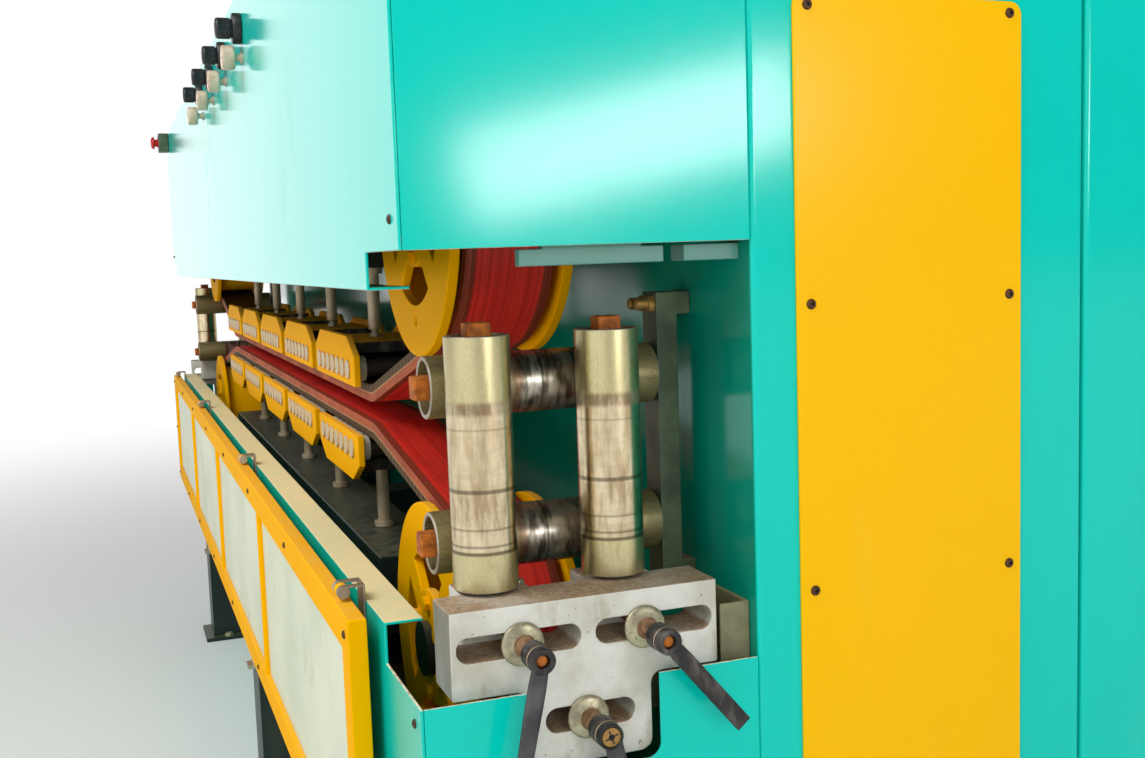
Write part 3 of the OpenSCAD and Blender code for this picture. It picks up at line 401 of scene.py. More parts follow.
beigeGauge = plastic("beigeGauge", (222, 196, 172), (196, 166, 140), 0.3)
gaugeFace = plastic("gaugeFace", (238, 236, 226), (228, 224, 210), 0.25)
print("finishes made")

finishOf = {"teal_paint": teal, "yellow_paint": orange, "dark_paint": darkGreen, "grey_paint": greyGreen,
    "black_paint": oxide, "cream_sheet": cream, "red_rubber": rubber, "zinc_steel": bareSteel,
    "roller_steel": roller, "rusty_steel": rusted, "pale_casting": casting, "gauge_brass": beigeGauge,
    "black_plastic": blackPlastic, "red_plastic": redPlastic}


# Making meshes

shading = {"bevelAngle": 32, "sharpAngle": 46, "templateAngle": 40, "flatAngle": 1.0}  # degrees


def camel(words):
    first, *rest = words.split("_")
    return first + "".join(word.capitalize() for word in rest)


def newObject(name, data):
    made = bpy.data.objects.new(name, data)
    bpy.context.scene.collection.objects.link(made)
    return made


def addPiece(name, mesh, body, slot, *replaced):
    piece = newObject(name, mesh)
    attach(piece, body)
    if replaced:
        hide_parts(*replaced)
    return piece


def finished(draft):  # the draft's mesh with its modifiers in it, and the draft itself removed
    bpy.context.view_layer.update()
    shape = draft.evaluated_get(bpy.context.evaluated_depsgraph_get())
    mesh = bpy.data.meshes.new_from_object(shape)
    bpy.data.objects.remove(draft)
    return mesh


def shaded(mesh, bevelWidth=0.0, segments=2):  # soft edges, and flat faces that stay flat
    draft = newObject("draft", mesh)
    mesh.shade_smooth()
    if bevelWidth:
        bevel = draft.modifiers.new("bevel", "BEVEL")
        bevel.width = bevelWidth
        bevel.segments = segments
        bevel.limit_method = "ANGLE"
        bevel.angle_limit = math.radians(shading["bevelAngle"])
        bevel.use_clamp_overlap = False
        bevel.harden_normals = True
    else:
        mesh.set_sharp_from_angle(angle=math.radians(shading["sharpAngle"]))
        weighted = draft.modifiers.new("weighted", "WEIGHTED_NORMAL")
        weighted.keep_sharp = True
    return finished(draft)


def mergedCopy(node, dissolve, merge):
    source = bmesh.new()
    source.from_mesh(frame["nodes"][node].data)
    bmesh.ops.remove_doubles(source, verts=source.verts, dist=merge)
    if dissolve:
        bmesh.ops.dissolve_limit(source, angle_limit=math.radians(shading["flatAngle"]), verts=source.verts,
            edges=source.edges)
    mesh = bpy.data.meshes.new(camel(node))
    source.to_mesh(mesh)
    source.free()
    for name in ("custom_normal", "sharp_edge", "sharp_face"):
        if name in mesh.attributes:
            mesh.attributes.remove(mesh.attributes[name])
    return mesh


def dress(node, width, material=None, segments=2, edgeRule=None, edgeFinish=None, dissolve=True,
        merge=0.00002):
    # edgeRule says which faces get edgeFinish instead, from their centre and direction
    mesh = shaded(mergedCopy(node, dissolve, merge), width, segments)
    mesh.materials.clear()
    mesh.materials.append(material or finishOf[slotOf[node]])
    if edgeRule:
        mesh.materials.append(edgeFinish or edgePale)
        for polygon in mesh.polygons:
            polygon.material_index = 1 if edgeRule(polygon.center, polygon.normal) else 0
    return addPiece(camel(node), mesh, bodyOf[node], slotOf[node], node)


class Build:  # a piece put together from turned, boxed and bent shapes, each with its own finish
    def __init__(self):
        self.shape = bmesh.new()
        self.finishes = []
        self.turned = self.shape.verts.layers.float_vector.new("turned")
        self.variety = self.shape.verts.layers.float.new("variety")

    def index(self, finish):
        if finish not in self.finishes:
            self.finishes.append(finish)
        return self.finishes.index(finish)

    def turn(self, profile, place, finish, sides=48, outline=None, variety=0.0, ring=False):
        # profile holds (radius, height) pairs from the foot up, and a third entry changes the finish
        heights = [point[1] for point in profile]
        foot, top = min(heights), max(heights)
        widest = max(point[0] for point in profile)
        loops = []
        for radius, height, *finishes in profile:
            number = variety(radius, height) if callable(variety) else variety
            share = (height - foot) / max(top - foot, 1e-6)
            if radius < 1e-7:
                loops.append([self.corner(place @ Vector((0, 0, height)), (0, 0, share), number)])
                continue
            wide = radius / widest
            loop = []
            for i in range(sides):
                angle = 2 * math.pi * i / sides
                across, over = math.cos(angle), math.sin(angle)
                reach = radius * (outline(angle, radius, height) if outline else 1)
                spot = place @ Vector((reach * across, reach * over, height))
                loop.append(self.corner(spot, (across * wide, over * wide, share), number))
            loops.append(loop)
        pairs = list(zip(loops, loops[1:], profile[1:]))
        if ring:
            pairs.append((loops[-1], loops[0], profile[0]))
        for lower, upper, point in pairs:
            self.skin(lower, upper, point[2] if len(point) > 2 else finish)

    def corner(self, spot, turned, variety=0.0):
        vertex = self.shape.verts.new(spot)
        vertex[self.turned] = turned
        vertex[self.variety] = variety
        return vertex

    def skin(self, lower, upper, finish):
        count = max(len(lower), len(upper))
        for i in range(count):
            j = (i + 1) % count
            corners = []
            for loop, at in ((lower, i), (lower, j), (upper, j), (upper, i)):
                if loop[at % len(loop)] not in corners:
                    corners.append(loop[at % len(loop)])
            self.face(corners, finish)

    def face(self, corners, finish):
        if len(corners) > 2:
            self.shape.faces.new(corners).material_index = self.index(finish)

    def box(self, low, high, finish, edge=0.001, segments=2, place=Matrix()):
        low, high = Vector(low), Vector(high)
        cube = bmesh.ops.create_cube(self.shape, size=1.0,
            matrix=place @ Matrix.Translation((low + high) / 2) @ Matrix.Diagonal((*(high - low), 1)))
        # a dictionary's keys keep their order, and a set's don't
        faces = dict.fromkeys(face for vertex in cube["verts"] for face in vertex.link_faces)
        for face in faces:
            face.material_index = self.index(finish)
        edges = dict.fromkeys(line for face in faces for line in face.edges)
        bmesh.ops.bevel(self.shape, geom=list(edges), offset=edge, segments=segments, profile=0.5,
            affect="EDGES", clamp_overlap=True, material=-1)

    def rod(self, radius, start, end, finish, chamfer):
        start, end = Vector(start), Vector(end)
        length = (end - start).length
        place = Matrix.Translation(start) @ (end - start).to_track_quat("Z", "Y").to_matrix().to_4x4()
        self.turn([(0, 0), (radius - chamfer, 0), (radius, chamfer), (radius, length - chamfer),
            (radius - chamfer, length), (0, length)], place, finish, sides=32)

    def bar(self, path, widths, thick, finish, rounding):  # a flat bar along path, its thickness along X
        across = Vector((1, 0, 0))
        loops = []
        for i, point in enumerate(path):
            ahead = (path[min(i + 1, len(path) - 1)] - path[max(i - 1, 0)]).normalized()
            side = ahead.cross(across).normalized() * widths[i] / 2
            loops.append([self.corner(point + side * u + across * v * thick / 2, (u, v, i))
                for u, v in roundedSquare(rounding, rounding * widths[i] / thick, 4)])
        for lower, upper in zip(loops, loops[1:]):
            self.skin(lower, upper, finish)
        self.face(loops[0][::-1], finish)
        self.face(loops[-1], finish)

    def bothEnds(self):  # adds the mirror image of everything so far, at the other end
        whole = self.shape.verts[:] + self.shape.edges[:] + self.shape.faces[:]
        copied = bmesh.ops.duplicate(self.shape, geom=whole)["geom"]
        fresh = [item for item in copied if isinstance(item, bmesh.types.BMVert)]
        bmesh.ops.transform(self.shape, matrix=mirrorX, verts=fresh)

    def mesh(self, name, mirrored=False):
        if mirrored:
            self.shape.transform(mirrorX)
        bmesh.ops.remove_doubles(self.shape, verts=self.shape.verts, dist=0.000005)
        bmesh.ops.recalc_face_normals(self.shape, faces=self.shape.faces)
        mesh = bpy.data.meshes.new(name)
        self.shape.to_mesh(mesh)
        self.shape.free()
        for finish in self.finishes:
            mesh.materials.append(finish)
        return mesh

    def make(self, name, body, slot, *replaced, mirrored=False):
        return addPiece(name, shaded(self.mesh(name, mirrored)), body, slot, *replaced)

    def replace(self, node, mirrored=False):
        return self.make(camel(node), bodyOf[node], slotOf[node], node, mirrored=mirrored)

    def template(self, name):  # an object that scatter sets on its points
        mesh = self.mesh(name)
        mesh.shade_smooth()
        mesh.set_sharp_from_angle(angle=math.radians(shading["templateAngle"]))
        made = newObject(name, mesh)
        templates.append(made)
        return made


templates = []


def roundedSquare(acrossShare, upShare, steps):  # a square from -1 to 1, rounded by shares of its half
    points = []
    upShare = min(upShare, 1)
    for corner, (u, v) in enumerate(((1, -1), (1, 1), (-1, 1), (-1, -1))):
        for i in range(steps + 1):
            angle = math.radians(-90 + corner * 90 + 90 * i / steps)
            points.append((u * (1 - acrossShare) + acrossShare * math.cos(angle),
                v * (1 - upShare) + upShare * math.sin(angle)))
    return points


def hexagon(angle):  # a hexagon's reach in this direction, as a share of its corners' radius
    return math.cos(math.radians(30)) / math.cos(angle % math.radians(60) - math.radians(30))


def millimetres(profile):
    return [(radius / 1000, height / 1000, *finish) for radius, height, *finish in profile]


def spread(start, stop, count):  # evenly spaced values from start to stop
    return [start + (stop - start) * i / (count - 1) for i in range(count)]


def aimed(axis, x, y, z):  # a frame whose own Z points out of the front, or along the machine
    about = {"front": "X", "along": "Y"}[axis]
    return Matrix.Translation((x, y, z)) @ Matrix.Rotation(math.radians(90), 4, about)


def ribbed(count, depth, low, high, inside):  # ribs between two heights, outside a radius
    def outline(angle, reach, rise):
        if low < rise < high and reach > inside:
            return 1 - depth * (0.5 + 0.5 * math.cos(count * angle))
        return 1
    return outline


def scatterGroup():  # sets a template on points, facing along their "toward" attribute
    group = bpy.data.node_groups.new("piecesOnPoints", "GeometryNodeTree")
    kinds = {"Points": "NodeSocketGeometry", "Template": "NodeSocketObject", "Finish": "NodeSocketMaterial",
        "Turn": "NodeSocketFloat"}
    for name, kind in kinds.items():
        group.interface.new_socket(name, in_out="INPUT", socket_type=kind)
    group.interface.new_socket("Pieces", in_out="OUTPUT", socket_type="NodeSocketGeometry")
    graph = Graph(group)
    given = {name: graph.node("NodeGroupInput", output=name) for name in kinds}
    toward = graph.node("GeometryNodeInputNamedAttribute", {"data_type": "FLOAT_VECTOR"}, {"Name": "toward"})
    facing = graph.node("FunctionNodeAlignRotationToVector", {"axis": "Z"}, {"Vector": toward})
    angle = graph.node("FunctionNodeRandomValue", {"data_type": "FLOAT"},
        {2: 0.0, 3: given["Turn"], "Seed": 3}, output=1)
    spin = graph.node("FunctionNodeAxisAngleToRotation", inputs={"Axis": (0, 0, 1), "Angle": angle})
    rotation = graph.node("FunctionNodeRotateRotation", {"rotation_space": "LOCAL"},
        {"Rotation": facing, "Rotate By": spin})
    shape = graph.node("GeometryNodeObjectInfo", inputs={"Object": given["Template"]}, output="Geometry")
    pieces = graph.node("GeometryNodeInstanceOnPoints",
        inputs={"Points": given["Points"], "Instance": shape, "Rotation": rotation})
    solid = graph.node("GeometryNodeRealizeInstances", inputs={"Geometry": pieces})
    coated = graph.node("GeometryNodeSetMaterial", inputs={"Geometry": solid, "Material": given["Finish"]})
    graph.node("NodeGroupOutput", inputs={"Pieces": coated})
    return group


scatterTree = scatterGroup()


def scatter(name, body, slot, template, finish, points, *replaced, turn=6.28):
    # points holds (place, direction) pairs
    cloud = bpy.data.meshes.new(name)
    cloud.from_pydata([place for place, direction in points], [], [])
    toward = cloud.attributes.new("toward", "FLOAT_VECTOR", "POINT")
    for spot, (place, direction) in zip(toward.data, points):
        spot.vector = direction
    draft = newObject("draft", cloud)
    pieces = draft.modifiers.new("pieces", "NODES")
    pieces.node_group = scatterTree
    values = {"Template": template, "Finish": finish, "Turn": turn}
    for item in scatterTree.interface.items_tree:
        if item.in_out == "INPUT" and item.name in values:
            pieces[item.identifier] = values[item.name]
    mesh = finished(draft)
    mesh.name = name
    if "toward" in mesh.attributes:
        mesh.attributes.remove(mesh.attributes["toward"])
    return addPiece(name, mesh, body, slot, *replaced)


def screwTemplate(radius, height):  # a round head with a six-sided socket
    socket = radius * 0.42
    build = Build()
    # variety is 1 inside the socket, where screwSteel paints shade
    build.turn([(0, 0), (radius, 0), (radius, height * 0.2), (radius * 0.94, height * 0.5),
        (radius * 0.78, height * 0.8), (radius * 0.56, height * 0.97), (radius * 0.46, height),
        (socket, height * 0.96), (socket, height * 0.35), (0, height * 0.3)], Matrix(), None, sides=24,
        outline=lambda angle, reach, rise: hexagon(angle) if reach <= socket else 1,
        variety=lambda reach, rise: 1.0 if reach <= socket and rise < height * 0.9 else 0.0)
    return build.template("screw")


def boltTemplate(radius, height):  # a hexagon head on a washer
    build = Build()
    washer = radius * 1.25
    build.turn([(0, 0), (washer, 0), (washer, height * 0.2), (radius, height * 0.22), (radius, height * 0.9),
        (radius * 0.9, height), (0, height)], Matrix(), None, sides=24,
        outline=lambda angle, reach, rise: hexagon(angle) if reach <= radius else 1)
    return build.template("bolt")


coverScrew = screwTemplate(0.00525, 0.003)
smallScrew = screwTemplate(0.0045, 0.0025)
hubBolt = boltTemplate(0.0095, 0.007)
footBolt = boltTemplate(0.0125, 0.010)
print("templates made")


# Cabinet, hood and tray

def housings():
    plain = {"cabinet_rear": 0.006, "rear_panels": 0.0012, "tray_floor": 0.0008, "hood_top": 0.0012,
        "base_frame": 0.002}
    bare = {"lip": 0.003, "length": 0.145, "height": 0.79}  # how far and from what height edges are bare
    for node, width in plain.items():
        dress(node, width, segments=3 if width > 0.005 else 2)
    # the cabinet's front faces, deep in the recess, take the darker teal as painted shade
    dress("cabinet_front", 0.006, segments=3, edgeRule=lambda place, face: face.y < -straight,
        edgeFinish=paintedShadeTeal)
    dress("hood_lips", 0.0012, lipTeal)
    dress("cover_plates", 0.0012, yellow)
    dress("hood_front", 0.0012,
        edgeRule=lambda place, face: face.z < -straight and place.z < hoodLow.z + bare["lip"])
    dress("hood_ends", 0.0012, edgeRule=lambda place, face: face.z < -slanted)
    dress("tray_front", 0.0010, dustyTeal,
        edgeRule=lambda place, face: face.z > slanted and abs(place.x) > endX - bare["length"])
    dress("tray_ends", 0.0010, edgeRule=lambda place, face: face.z > slanted and place.z > bare["height"])


def coverScrews():
    edge = {"side": 0.0155, "top": 0.012, "bottom": 0.014, "rows": 4}
    low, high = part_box("cover_plates")
    points = [((side * high.x, y, z), (side, 0, 0)) for side in endOf.values()
        for y in (low.y + edge["side"], high.y - edge["side"])
        for z in spread(low.z + edge["bottom"], high.z - edge["top"], edge["rows"])]
    scatter("coverScrews", "machine", "zinc_steel", coverScrew, brownScrew, points)


def wallScrews():
    walls = {"hood_ends": {"inset": 0.030, "low": 0.028, "high": 0.030, "rows": 2},
        "tray_ends": {"inset": 0.024, "low": 0.050, "high": 0.020, "rows": 4}}
    points = []
    for node, wall in walls.items():
        low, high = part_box(node)
        points += [((side * (endX - wall["inset"]), frontY, z), forward) for side in endOf.values()
            for z in spread(low.z + wall["low"], high.z - wall["high"], wall["rows"])]
    scatter("wallScrews", "machine", "zinc_steel", smallScrew, brownScrew, points)


def rearScrews():
    edge = {"inset": 0.022, "rows": 5, "columns": 3, "panels": 4, "margin": 0.040}
    low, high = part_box("rear_panels")
    pitch = (high.x - low.x + edge["margin"]) / edge["panels"]
    rows = spread(low.z + edge["inset"], high.z - edge["inset"], edge["rows"])
    points = []
    for panel in range(edge["panels"]):
        left = low.x + panel * pitch
        right = left + pitch - edge["margin"]
        columns = spread(left + edge["inset"], right - edge["inset"], edge["columns"])
        points += [((x, high.y, z), (0, 1, 0)) for x in columns for z in rows
            if x in (columns[0], columns[-1]) or z in (rows[0], rows[-1])]
    scatter("rearScrews", "machine", "zinc_steel", coverScrew, brownScrew, points)


def footAnchors():
    foot = {"places": (-1.35, 0.0, 1.35), "reach": 0.0725, "depth": 0.070, "top": 0.012}
    points = [((x + side * foot["reach"], frontY + foot["depth"], foot["top"]), (0, 0, 1))
        for x in foot["places"] for side in (-1, 1)]
    scatter("footAnchors", "machine", "zinc_steel", footBolt, zincScrew, points)


# Press and belts

def pressPieces():
    plateFace = 0.059  # just short of a side plate's inner face, from the belts' middle

    # faces inside the side plates and at the yoke's ends are painted black as painted shade
    def paintedShadeFaces(place, face):  # the yoke's ends and what lies inside the side plates
        return abs(place.y - beltY) < plateFace and (abs(face.z) < slanted or (place.z - passZ) * face.z < 0)

    dress("press_carriers", 0.0015, edgeRule=paintedShadeFaces, edgeFinish=oxide)
    dress("press_beams", 0.004)
    dress("press_rods", 0.0006)
    dress("press_cylinders", 0.0008, cylinderSteel)


def pressRollers():
    press = {"radius": 0.0195, "sleeve": 0.014, "pin": 0.006, "cap": 0.0145, "capThick": 0.003, "rim": 0.0008,
        "dimple": 0.0006, "rollers": 7, "carriers": 5, "carrierPitch": 0.400, "pitch": 0.043, "length": 0.118,
        "bearing": 0.014}
    low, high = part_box("press_rollers")
    half = (high.y - low.y) / 2
    dimple = press["dimple"] - half
    inner = press["capThick"] - half
    end = -press["length"] / 2
    bearing = press["bearing"] + end
    radius, pin, cap, rim = press["radius"], press["pin"], press["cap"], press["rim"]
    profile = [(0, dimple), (pin - 0.001, dimple), (pin, -half), (cap - rim, -half), (cap, rim - half),
        (cap, inner), (pin, inner), (pin, end), (radius - rim, end), (radius, end + rim),
        (radius, bearing - rim), (radius - rim, bearing), (press["sleeve"], bearing)]
    build = Build()
    build.turn(profile + [(reach, -height) for reach, height in reversed(profile)], Matrix(), None, sides=32)
    template = build.template("pressRoller")
    rise = high.z - radius - passZ
    rows = [carrier * press["carrierPitch"] + place * press["pitch"]
        for carrier in spread(-2, 2, press["carriers"]) for place in spread(-3, 3, press["rollers"])]
    points = [((x, beltY, passZ + side * rise), forward) for x in rows for side in (-1, 1)]
    scatter("pressRollers", "machine", "roller_steel", template, pressRoller, points, "press_rollers")


def beltPath(drumRise, outerRadius):  # x, height over the cable's path and angle, round the loop
    belt = {"reach": 1.000, "fillet": 0.15}
    half = beltLow.z - passZ
    middleZ = half + beltThick / 2
    middleRadius = outerRadius - beltThick / 2
    toDrum = Vector((drumX - belt["reach"], drumRise - half))
    slope = math.atan2(toDrum.y, toDrum.x) - math.asin(outerRadius / toDrum.length)
    tangent = belt["fillet"] * math.tan(slope / 2)
    bendX = belt["reach"] - beltThick / 2 * math.tan(slope / 2) - tangent
    path = [(x, middleZ, 0.0) for x in spread(0, bendX, 12)]
    for angle in spread(0, slope, 6)[1:]:
        path.append((bendX + belt["fillet"] * math.sin(angle),
            middleZ + belt["fillet"] * (1 - math.cos(angle)), angle))
    for angle in spread(slope, math.pi, 60):
        path.append((drumX + middleRadius * math.sin(angle),
            drumRise - middleRadius * math.cos(angle), angle))
    path += [(x, drumRise + middleRadius, math.pi) for x in spread(drumX, 0, 12)[1:]]
    return path + [(-x, z, 2 * math.pi - angle) for x, z, angle in reversed(path[1:-1])]


def belts():
    width = beltHigh.y - beltLow.y
    for name, side in (("upper", 1), ("lower", -1)):
        low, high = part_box(f"{name}_belt")
        drumZ = centre(f"outlet_{name}_drum").z
        path = beltPath(abs(drumZ - passZ), high.z - drumZ if side > 0 else drumZ - low.z)
        build = Build()
        along = 0.0
        loops = []
        for i, (x, z, angle) in enumerate(path):
            along += math.hypot(x - path[i - 1][0], z - path[i - 1][1]) if i else 0.0
            outward = Vector((math.sin(angle), 0, -math.cos(angle)))
            loop = []
            for u, v in roundedSquare(0.025, 0.10, 3):
                spot = Vector((x, 0, z)) + outward * v * beltThick / 2
                spot = Vector((spot.x, beltY + u * width / 2, passZ + side * spot.z))
                loop.append(build.corner(spot, (u, v, along)))
            loops.append(loop)
        for lower, upper in zip(loops, loops[1:] + loops[:1]):
            build.skin(lower, upper, rubber)
        build.replace(f"{name}_belt")


def guardPieces():
    guard = {"height": 0.346, "border": 0.040, "screws": 8}
    for name, width in (("frame", 0.0025), ("panels", 0.0008), ("latches", 0.0012), ("hinges", 0.0006)):
        dress(f"guard_{name}", width)
    low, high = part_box("guard_frame")
    inset = guard["border"] / 2
    top = low.z + guard["height"] - inset
    bottom = low.z + inset
    rows = spread(low.x + inset, high.x - inset, guard["screws"])
    places = [(x, z) for x in rows for z in (bottom, top)]
    places += [(x, (bottom + top) / 2) for x in (rows[0], rows[-1])]
    points = [((x, low.y, z), forward) for x, z in places]
    scatter("guardScrews", bodyOf["guard_frame"], "zinc_steel", smallScrew, brownScrew, points)


def drums():
    hub = {"ring": 0.054, "bolts": 6}
    for node in ("outlet_upper_drum", "outlet_lower_drum", "inlet_upper_drum", "inlet_lower_drum"):
        dress(node, 0.002)
        middle = centre(node)
        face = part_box(node)[0].y
        angles = [2 * math.pi * (i + 0.5) / hub["bolts"] for i in range(hub["bolts"])]
        points = [((middle.x + hub["ring"] * math.cos(angle), face, middle.z + hub["ring"] * math.sin(angle)),
            forward) for angle in angles]
        scatter(camel(node) + "Bolts", bodyOf[node], "zinc_steel", hubBolt, orange, points)
    dress("drum_shafts", 0.0015)


# Guide stands

axle = {"radius": 0.010, "chamfer": 0.001, "head": 0.024, "headEdge": 0.002, "reach": 0.012, "recess": 0.010}
clamp = {"stud": 0.006, "collar": 0.021, "dome": 0.008, "boss": 0.0095, "bossLength": 0.022, "hub": 0.013,
    "hubLength": 0.030, "gap": 0.0005, "armLength": 0.110, "armThick": 0.008}
collarX = plateX + seat
hubX = collarX + clamp["dome"] + clamp["bossLength"] + clamp["gap"]


def guideStands():
    dress("guide_plates", 0.0014, segments=3, dissolve=False, merge=0.001)
    dress("plate_mounts", 0.0015, sideSteel)
    dress("roller_brackets", 0.0015)
    for end in endOf:
        for name in ("left", "right", "top", "bottom"):
            guideRoller(f"{end}_{name}_roller", upright=name in ("left", "right"))
    levelAxles()
    bracketBolts()
    atBothEnds("carriage", ("left", "right"), carriagePiece)
    lowerCollars()
    atBothEnds("lever", levers, leverPiece)


def guideRoller(node, upright):
    tube = {"wall": 0.005, "recess": 0.012, "bore": 0.0101, "chamfer": 0.0012, "lip": 0.001, "race": 0.0045,
        "sealDepth": 0.0015, "rim": 0.004}
    finish = roller if upright else darkRoller
    low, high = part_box(node)
    length = high.z - low.z if upright else high.y - low.y
    radius = (high.x - low.x) / 2
    inner = radius - tube["wall"]
    race = tube["bore"] + tube["race"]
    rim = inner - tube["rim"]
    face = tube["recess"]
    seal = face + tube["sealDepth"]
    foot = [(tube["bore"], face, bareSteel), (race, face, bareSteel), (race, seal, bareSteel),
        (rim, seal, blackPlastic), (rim, face, bareSteel), (inner, face, bareSteel),
        (inner, tube["lip"], darkRoller), (inner + tube["lip"], 0.0, bareSteel),
        (radius - tube["chamfer"], 0.0, bareSteel), (radius, tube["chamfer"], bareSteel)]
    coats = [finish] + [point[2] for point in reversed(foot[1:])]
    head = [(point[0], length - point[1], coat) for point, coat in zip(reversed(foot), coats)]
    middle = centre(node)
    if upright:
        place = Matrix.Translation((middle.x, middle.y, low.z))
    else:
        place = Matrix.Translation((middle.x, low.y, middle.z)) @ Matrix.Rotation(math.radians(-90), 4, "X")
    build = Build()
    build.turn(foot + head, place @ Matrix.Rotation(random.uniform(0, 6.28), 4, "Z"), finish, sides=96,
        variety=random.uniform(0, 50), ring=True)
    build.replace(node)


def levelAxles():
    build = Build()
    half = axle["head"] / 2
    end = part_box("level_axles")[1].y
    for name in ("top", "bottom"):
        x, z = centre(f"outlet_{name}_roller").xz
        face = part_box(f"outlet_{name}_roller")[0].y
        build.rod(axle["radius"], (x, face, z), (x, end, z), rusted, axle["chamfer"])
        build.box((x - half, face - axle["reach"], z - half), (x + half, face + axle["recess"], z + half),
            squareHead, axle["headEdge"])
    build.bothEnds()
    build.replace("level_axles")


def bracketBolts():
    bolt = {"radius": 0.0062, "length": 0.020, "inside": 0.002, "chamfer": 0.0015, "spacing": 0.017,
        "drop": 0.012}
    nut = millimetres([(0, 0), (9.5, 0), (9.5, 5.5), (8.5, 6.5), (0, 6.5)])
    low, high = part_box("roller_brackets")
    z = high.z - bolt["drop"]
    build = Build()
    for side in (-0.5, 0.5):
        x = centre("outlet_top_roller").x + side * bolt["spacing"]
        build.rod(bolt["radius"], (x, low.y + bolt["inside"], z), (x, low.y - bolt["length"], z), brass,
            bolt["chamfer"])
        build.turn(nut, aimed("front", x, low.y - seat, z), brass, sides=6)
    build.bothEnds()
    build.make("bracketBolts", "machine", "zinc_steel")


def clampStud(build, y, z, start, capped=False):  # its profile is in millimetres from the collar's foot
    stud, collar, boss = (1000 * clamp[size] for size in ("stud", "collar", "boss"))
    foot = 1000 * (start - collarX)
    top = 1000 * (hubX + clamp["hubLength"] - collarX) - (0.2 if capped else 3.5)
    neck = stud - 0.2
    profile = [(0, foot), (stud, foot, rusted), (stud, 0, rusted), (collar - 1, 0), (collar, 1), (collar, 3),
        (collar - 1.2, 4.2), (17.2, 5.3), (12.8, 6.8), (10.8, 8.2), (boss - 0.8, 8.8, brownBoss),
        (boss, 9.6, brownBoss), (boss, 28.8, brownBoss), (boss - 1.2, 30, brownBoss), (neck, 30, brownBoss)]
    if capped:
        # the cap's shallow centre and its cross slot are black: painted shade
        profile += [(neck, top - 4, rusted), (8.8, top - 4, brass), (9.2, top - 3.4, brass),
            (9.2, top - 0.8, brass), (8.4, top, brass), (3, top, brass), (2.6, top - 1.2, oxide),
            (0, top - 1.2, oxide)]
    else:
        profile += [(neck, top - 1.6, squareHead), (stud - 1.2, top - 0.4, squareHead),
            (stud / 2, top, squareHead), (0, top - 0.6, squareHead)]
    build.turn(millimetres(profile), aimed("along", collarX, y, z), zinc)
    if capped:
        for turn in (20, 110):  # the cross slot as two thin black bars on the face: painted shade
            place = aimed("along", hubX + clamp["hubLength"] - 0.0004, y, z)
            build.box((-0.0070, -0.0008, 0), (0.0070, 0.0008, 0.0003), oxide, edge=0.0001,
                place=place @ Matrix.Rotation(math.radians(turn), 4, "Z"))


def studPlace(name):  # across the machine and up, from the boxes of what the stud carries
    leverLow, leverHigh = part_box(f"outlet_{name}_lever")
    z = leverHigh.z - clamp["hub"]
    if name == "lower":
        return leverLow.y + clamp["hub"], z
    return 2 * centre(f"outlet_{name}_carriage").y - centre(f"outlet_{name}_roller").y, z


def carriagePiece(build, name):
    block = {"depth": 0.044, "height": 0.062, "edge": 0.002, "spigot": 0.006, "washer": 0.016,
        "nutInset": 0.010, "nutBack": 0.0088, "overlap": 0.001}
    nut = millimetres([(0, 0), (8, 0), (8, 5), (7, 6), (0, 6)])
    low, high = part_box(f"outlet_{name}_carriage")
    axleX, axleY = centre(f"outlet_{name}_roller").xy
    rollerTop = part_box(f"outlet_{name}_roller")[1].z
    faceX = plateX - plateDepth - seat
    topZ = plateHigh.z + seat
    build.box((faceX - block["depth"], low.y, topZ - block["height"]), (faceX, high.y, topZ), casting,
        block["edge"])
    for y in (low.y + block["nutInset"], high.y - block["nutInset"]):  # a nut at each side of the block
        build.turn(nut, Matrix.Translation((faceX - block["nutBack"], y, topZ - 0.0002)), zinc, sides=6)
    clampStud(build, *studPlace(name), faceX - 2 * block["overlap"])
    spigot, washer, rod = block["spigot"], block["washer"], axle["radius"]
    end = rollerTop - topZ - axle["recess"] + block["overlap"]
    build.turn([(0, -0.0001), (spigot, -0.0001), (spigot, seat), (washer, seat), (washer, 0.0018),
        (rod, 0.0022), (rod, end), (0, end)], Matrix.Translation((axleX, axleY, topZ)), rusted)
    half = axle["head"] / 2
    build.box((axleX - half, axleY - half, rollerTop - axle["recess"]),
        (axleX + half, axleY + half, rollerTop + axle["reach"]), squareHead, axle["headEdge"])


def atBothEnds(kind, names, shape):  # each by itself at the outlet, and all of them as one at the inlet
    inlet = Build()
    for name in names:
        outlet = Build()
        for build in (outlet, inlet):
            shape(build, name)
        outlet.replace(f"outlet_{name}_{kind}")
    inlet.replace(f"inlet_{kind}s", mirrored=True)


def lowerCollars():
    build = Build()
    clampStud(build, *studPlace("lower"), plateX - plateDepth, capped=True)
    build.bothEnds()
    build.replace("lower_collars")


levers = {
    "left": {"angle": -12, "bore": 6.2, "bow": 0.0, "round": 0.8, "finish": wornBlack,
        "widths": (16.5, 18.0, 17.8, 17.2, 16.5, 15.8, 15.0, 12.0)},
    "right": {"angle": 40, "bore": 6.2, "bow": 0.0, "round": 0.16, "finish": oxide,
        "widths": (15.0, 16.5, 16.5, 16.5, 16.5, 16.5, 16.5, 16.5)},
    "lower": {"angle": 25, "bore": 9.5, "bow": -0.010, "round": 0.8, "finish": wornBlack,
        "widths": (17.5, 19.0, 18.5, 17.8, 17.0, 16.0, 15.0, 12.0)},
}  # bores and widths are in millimetres


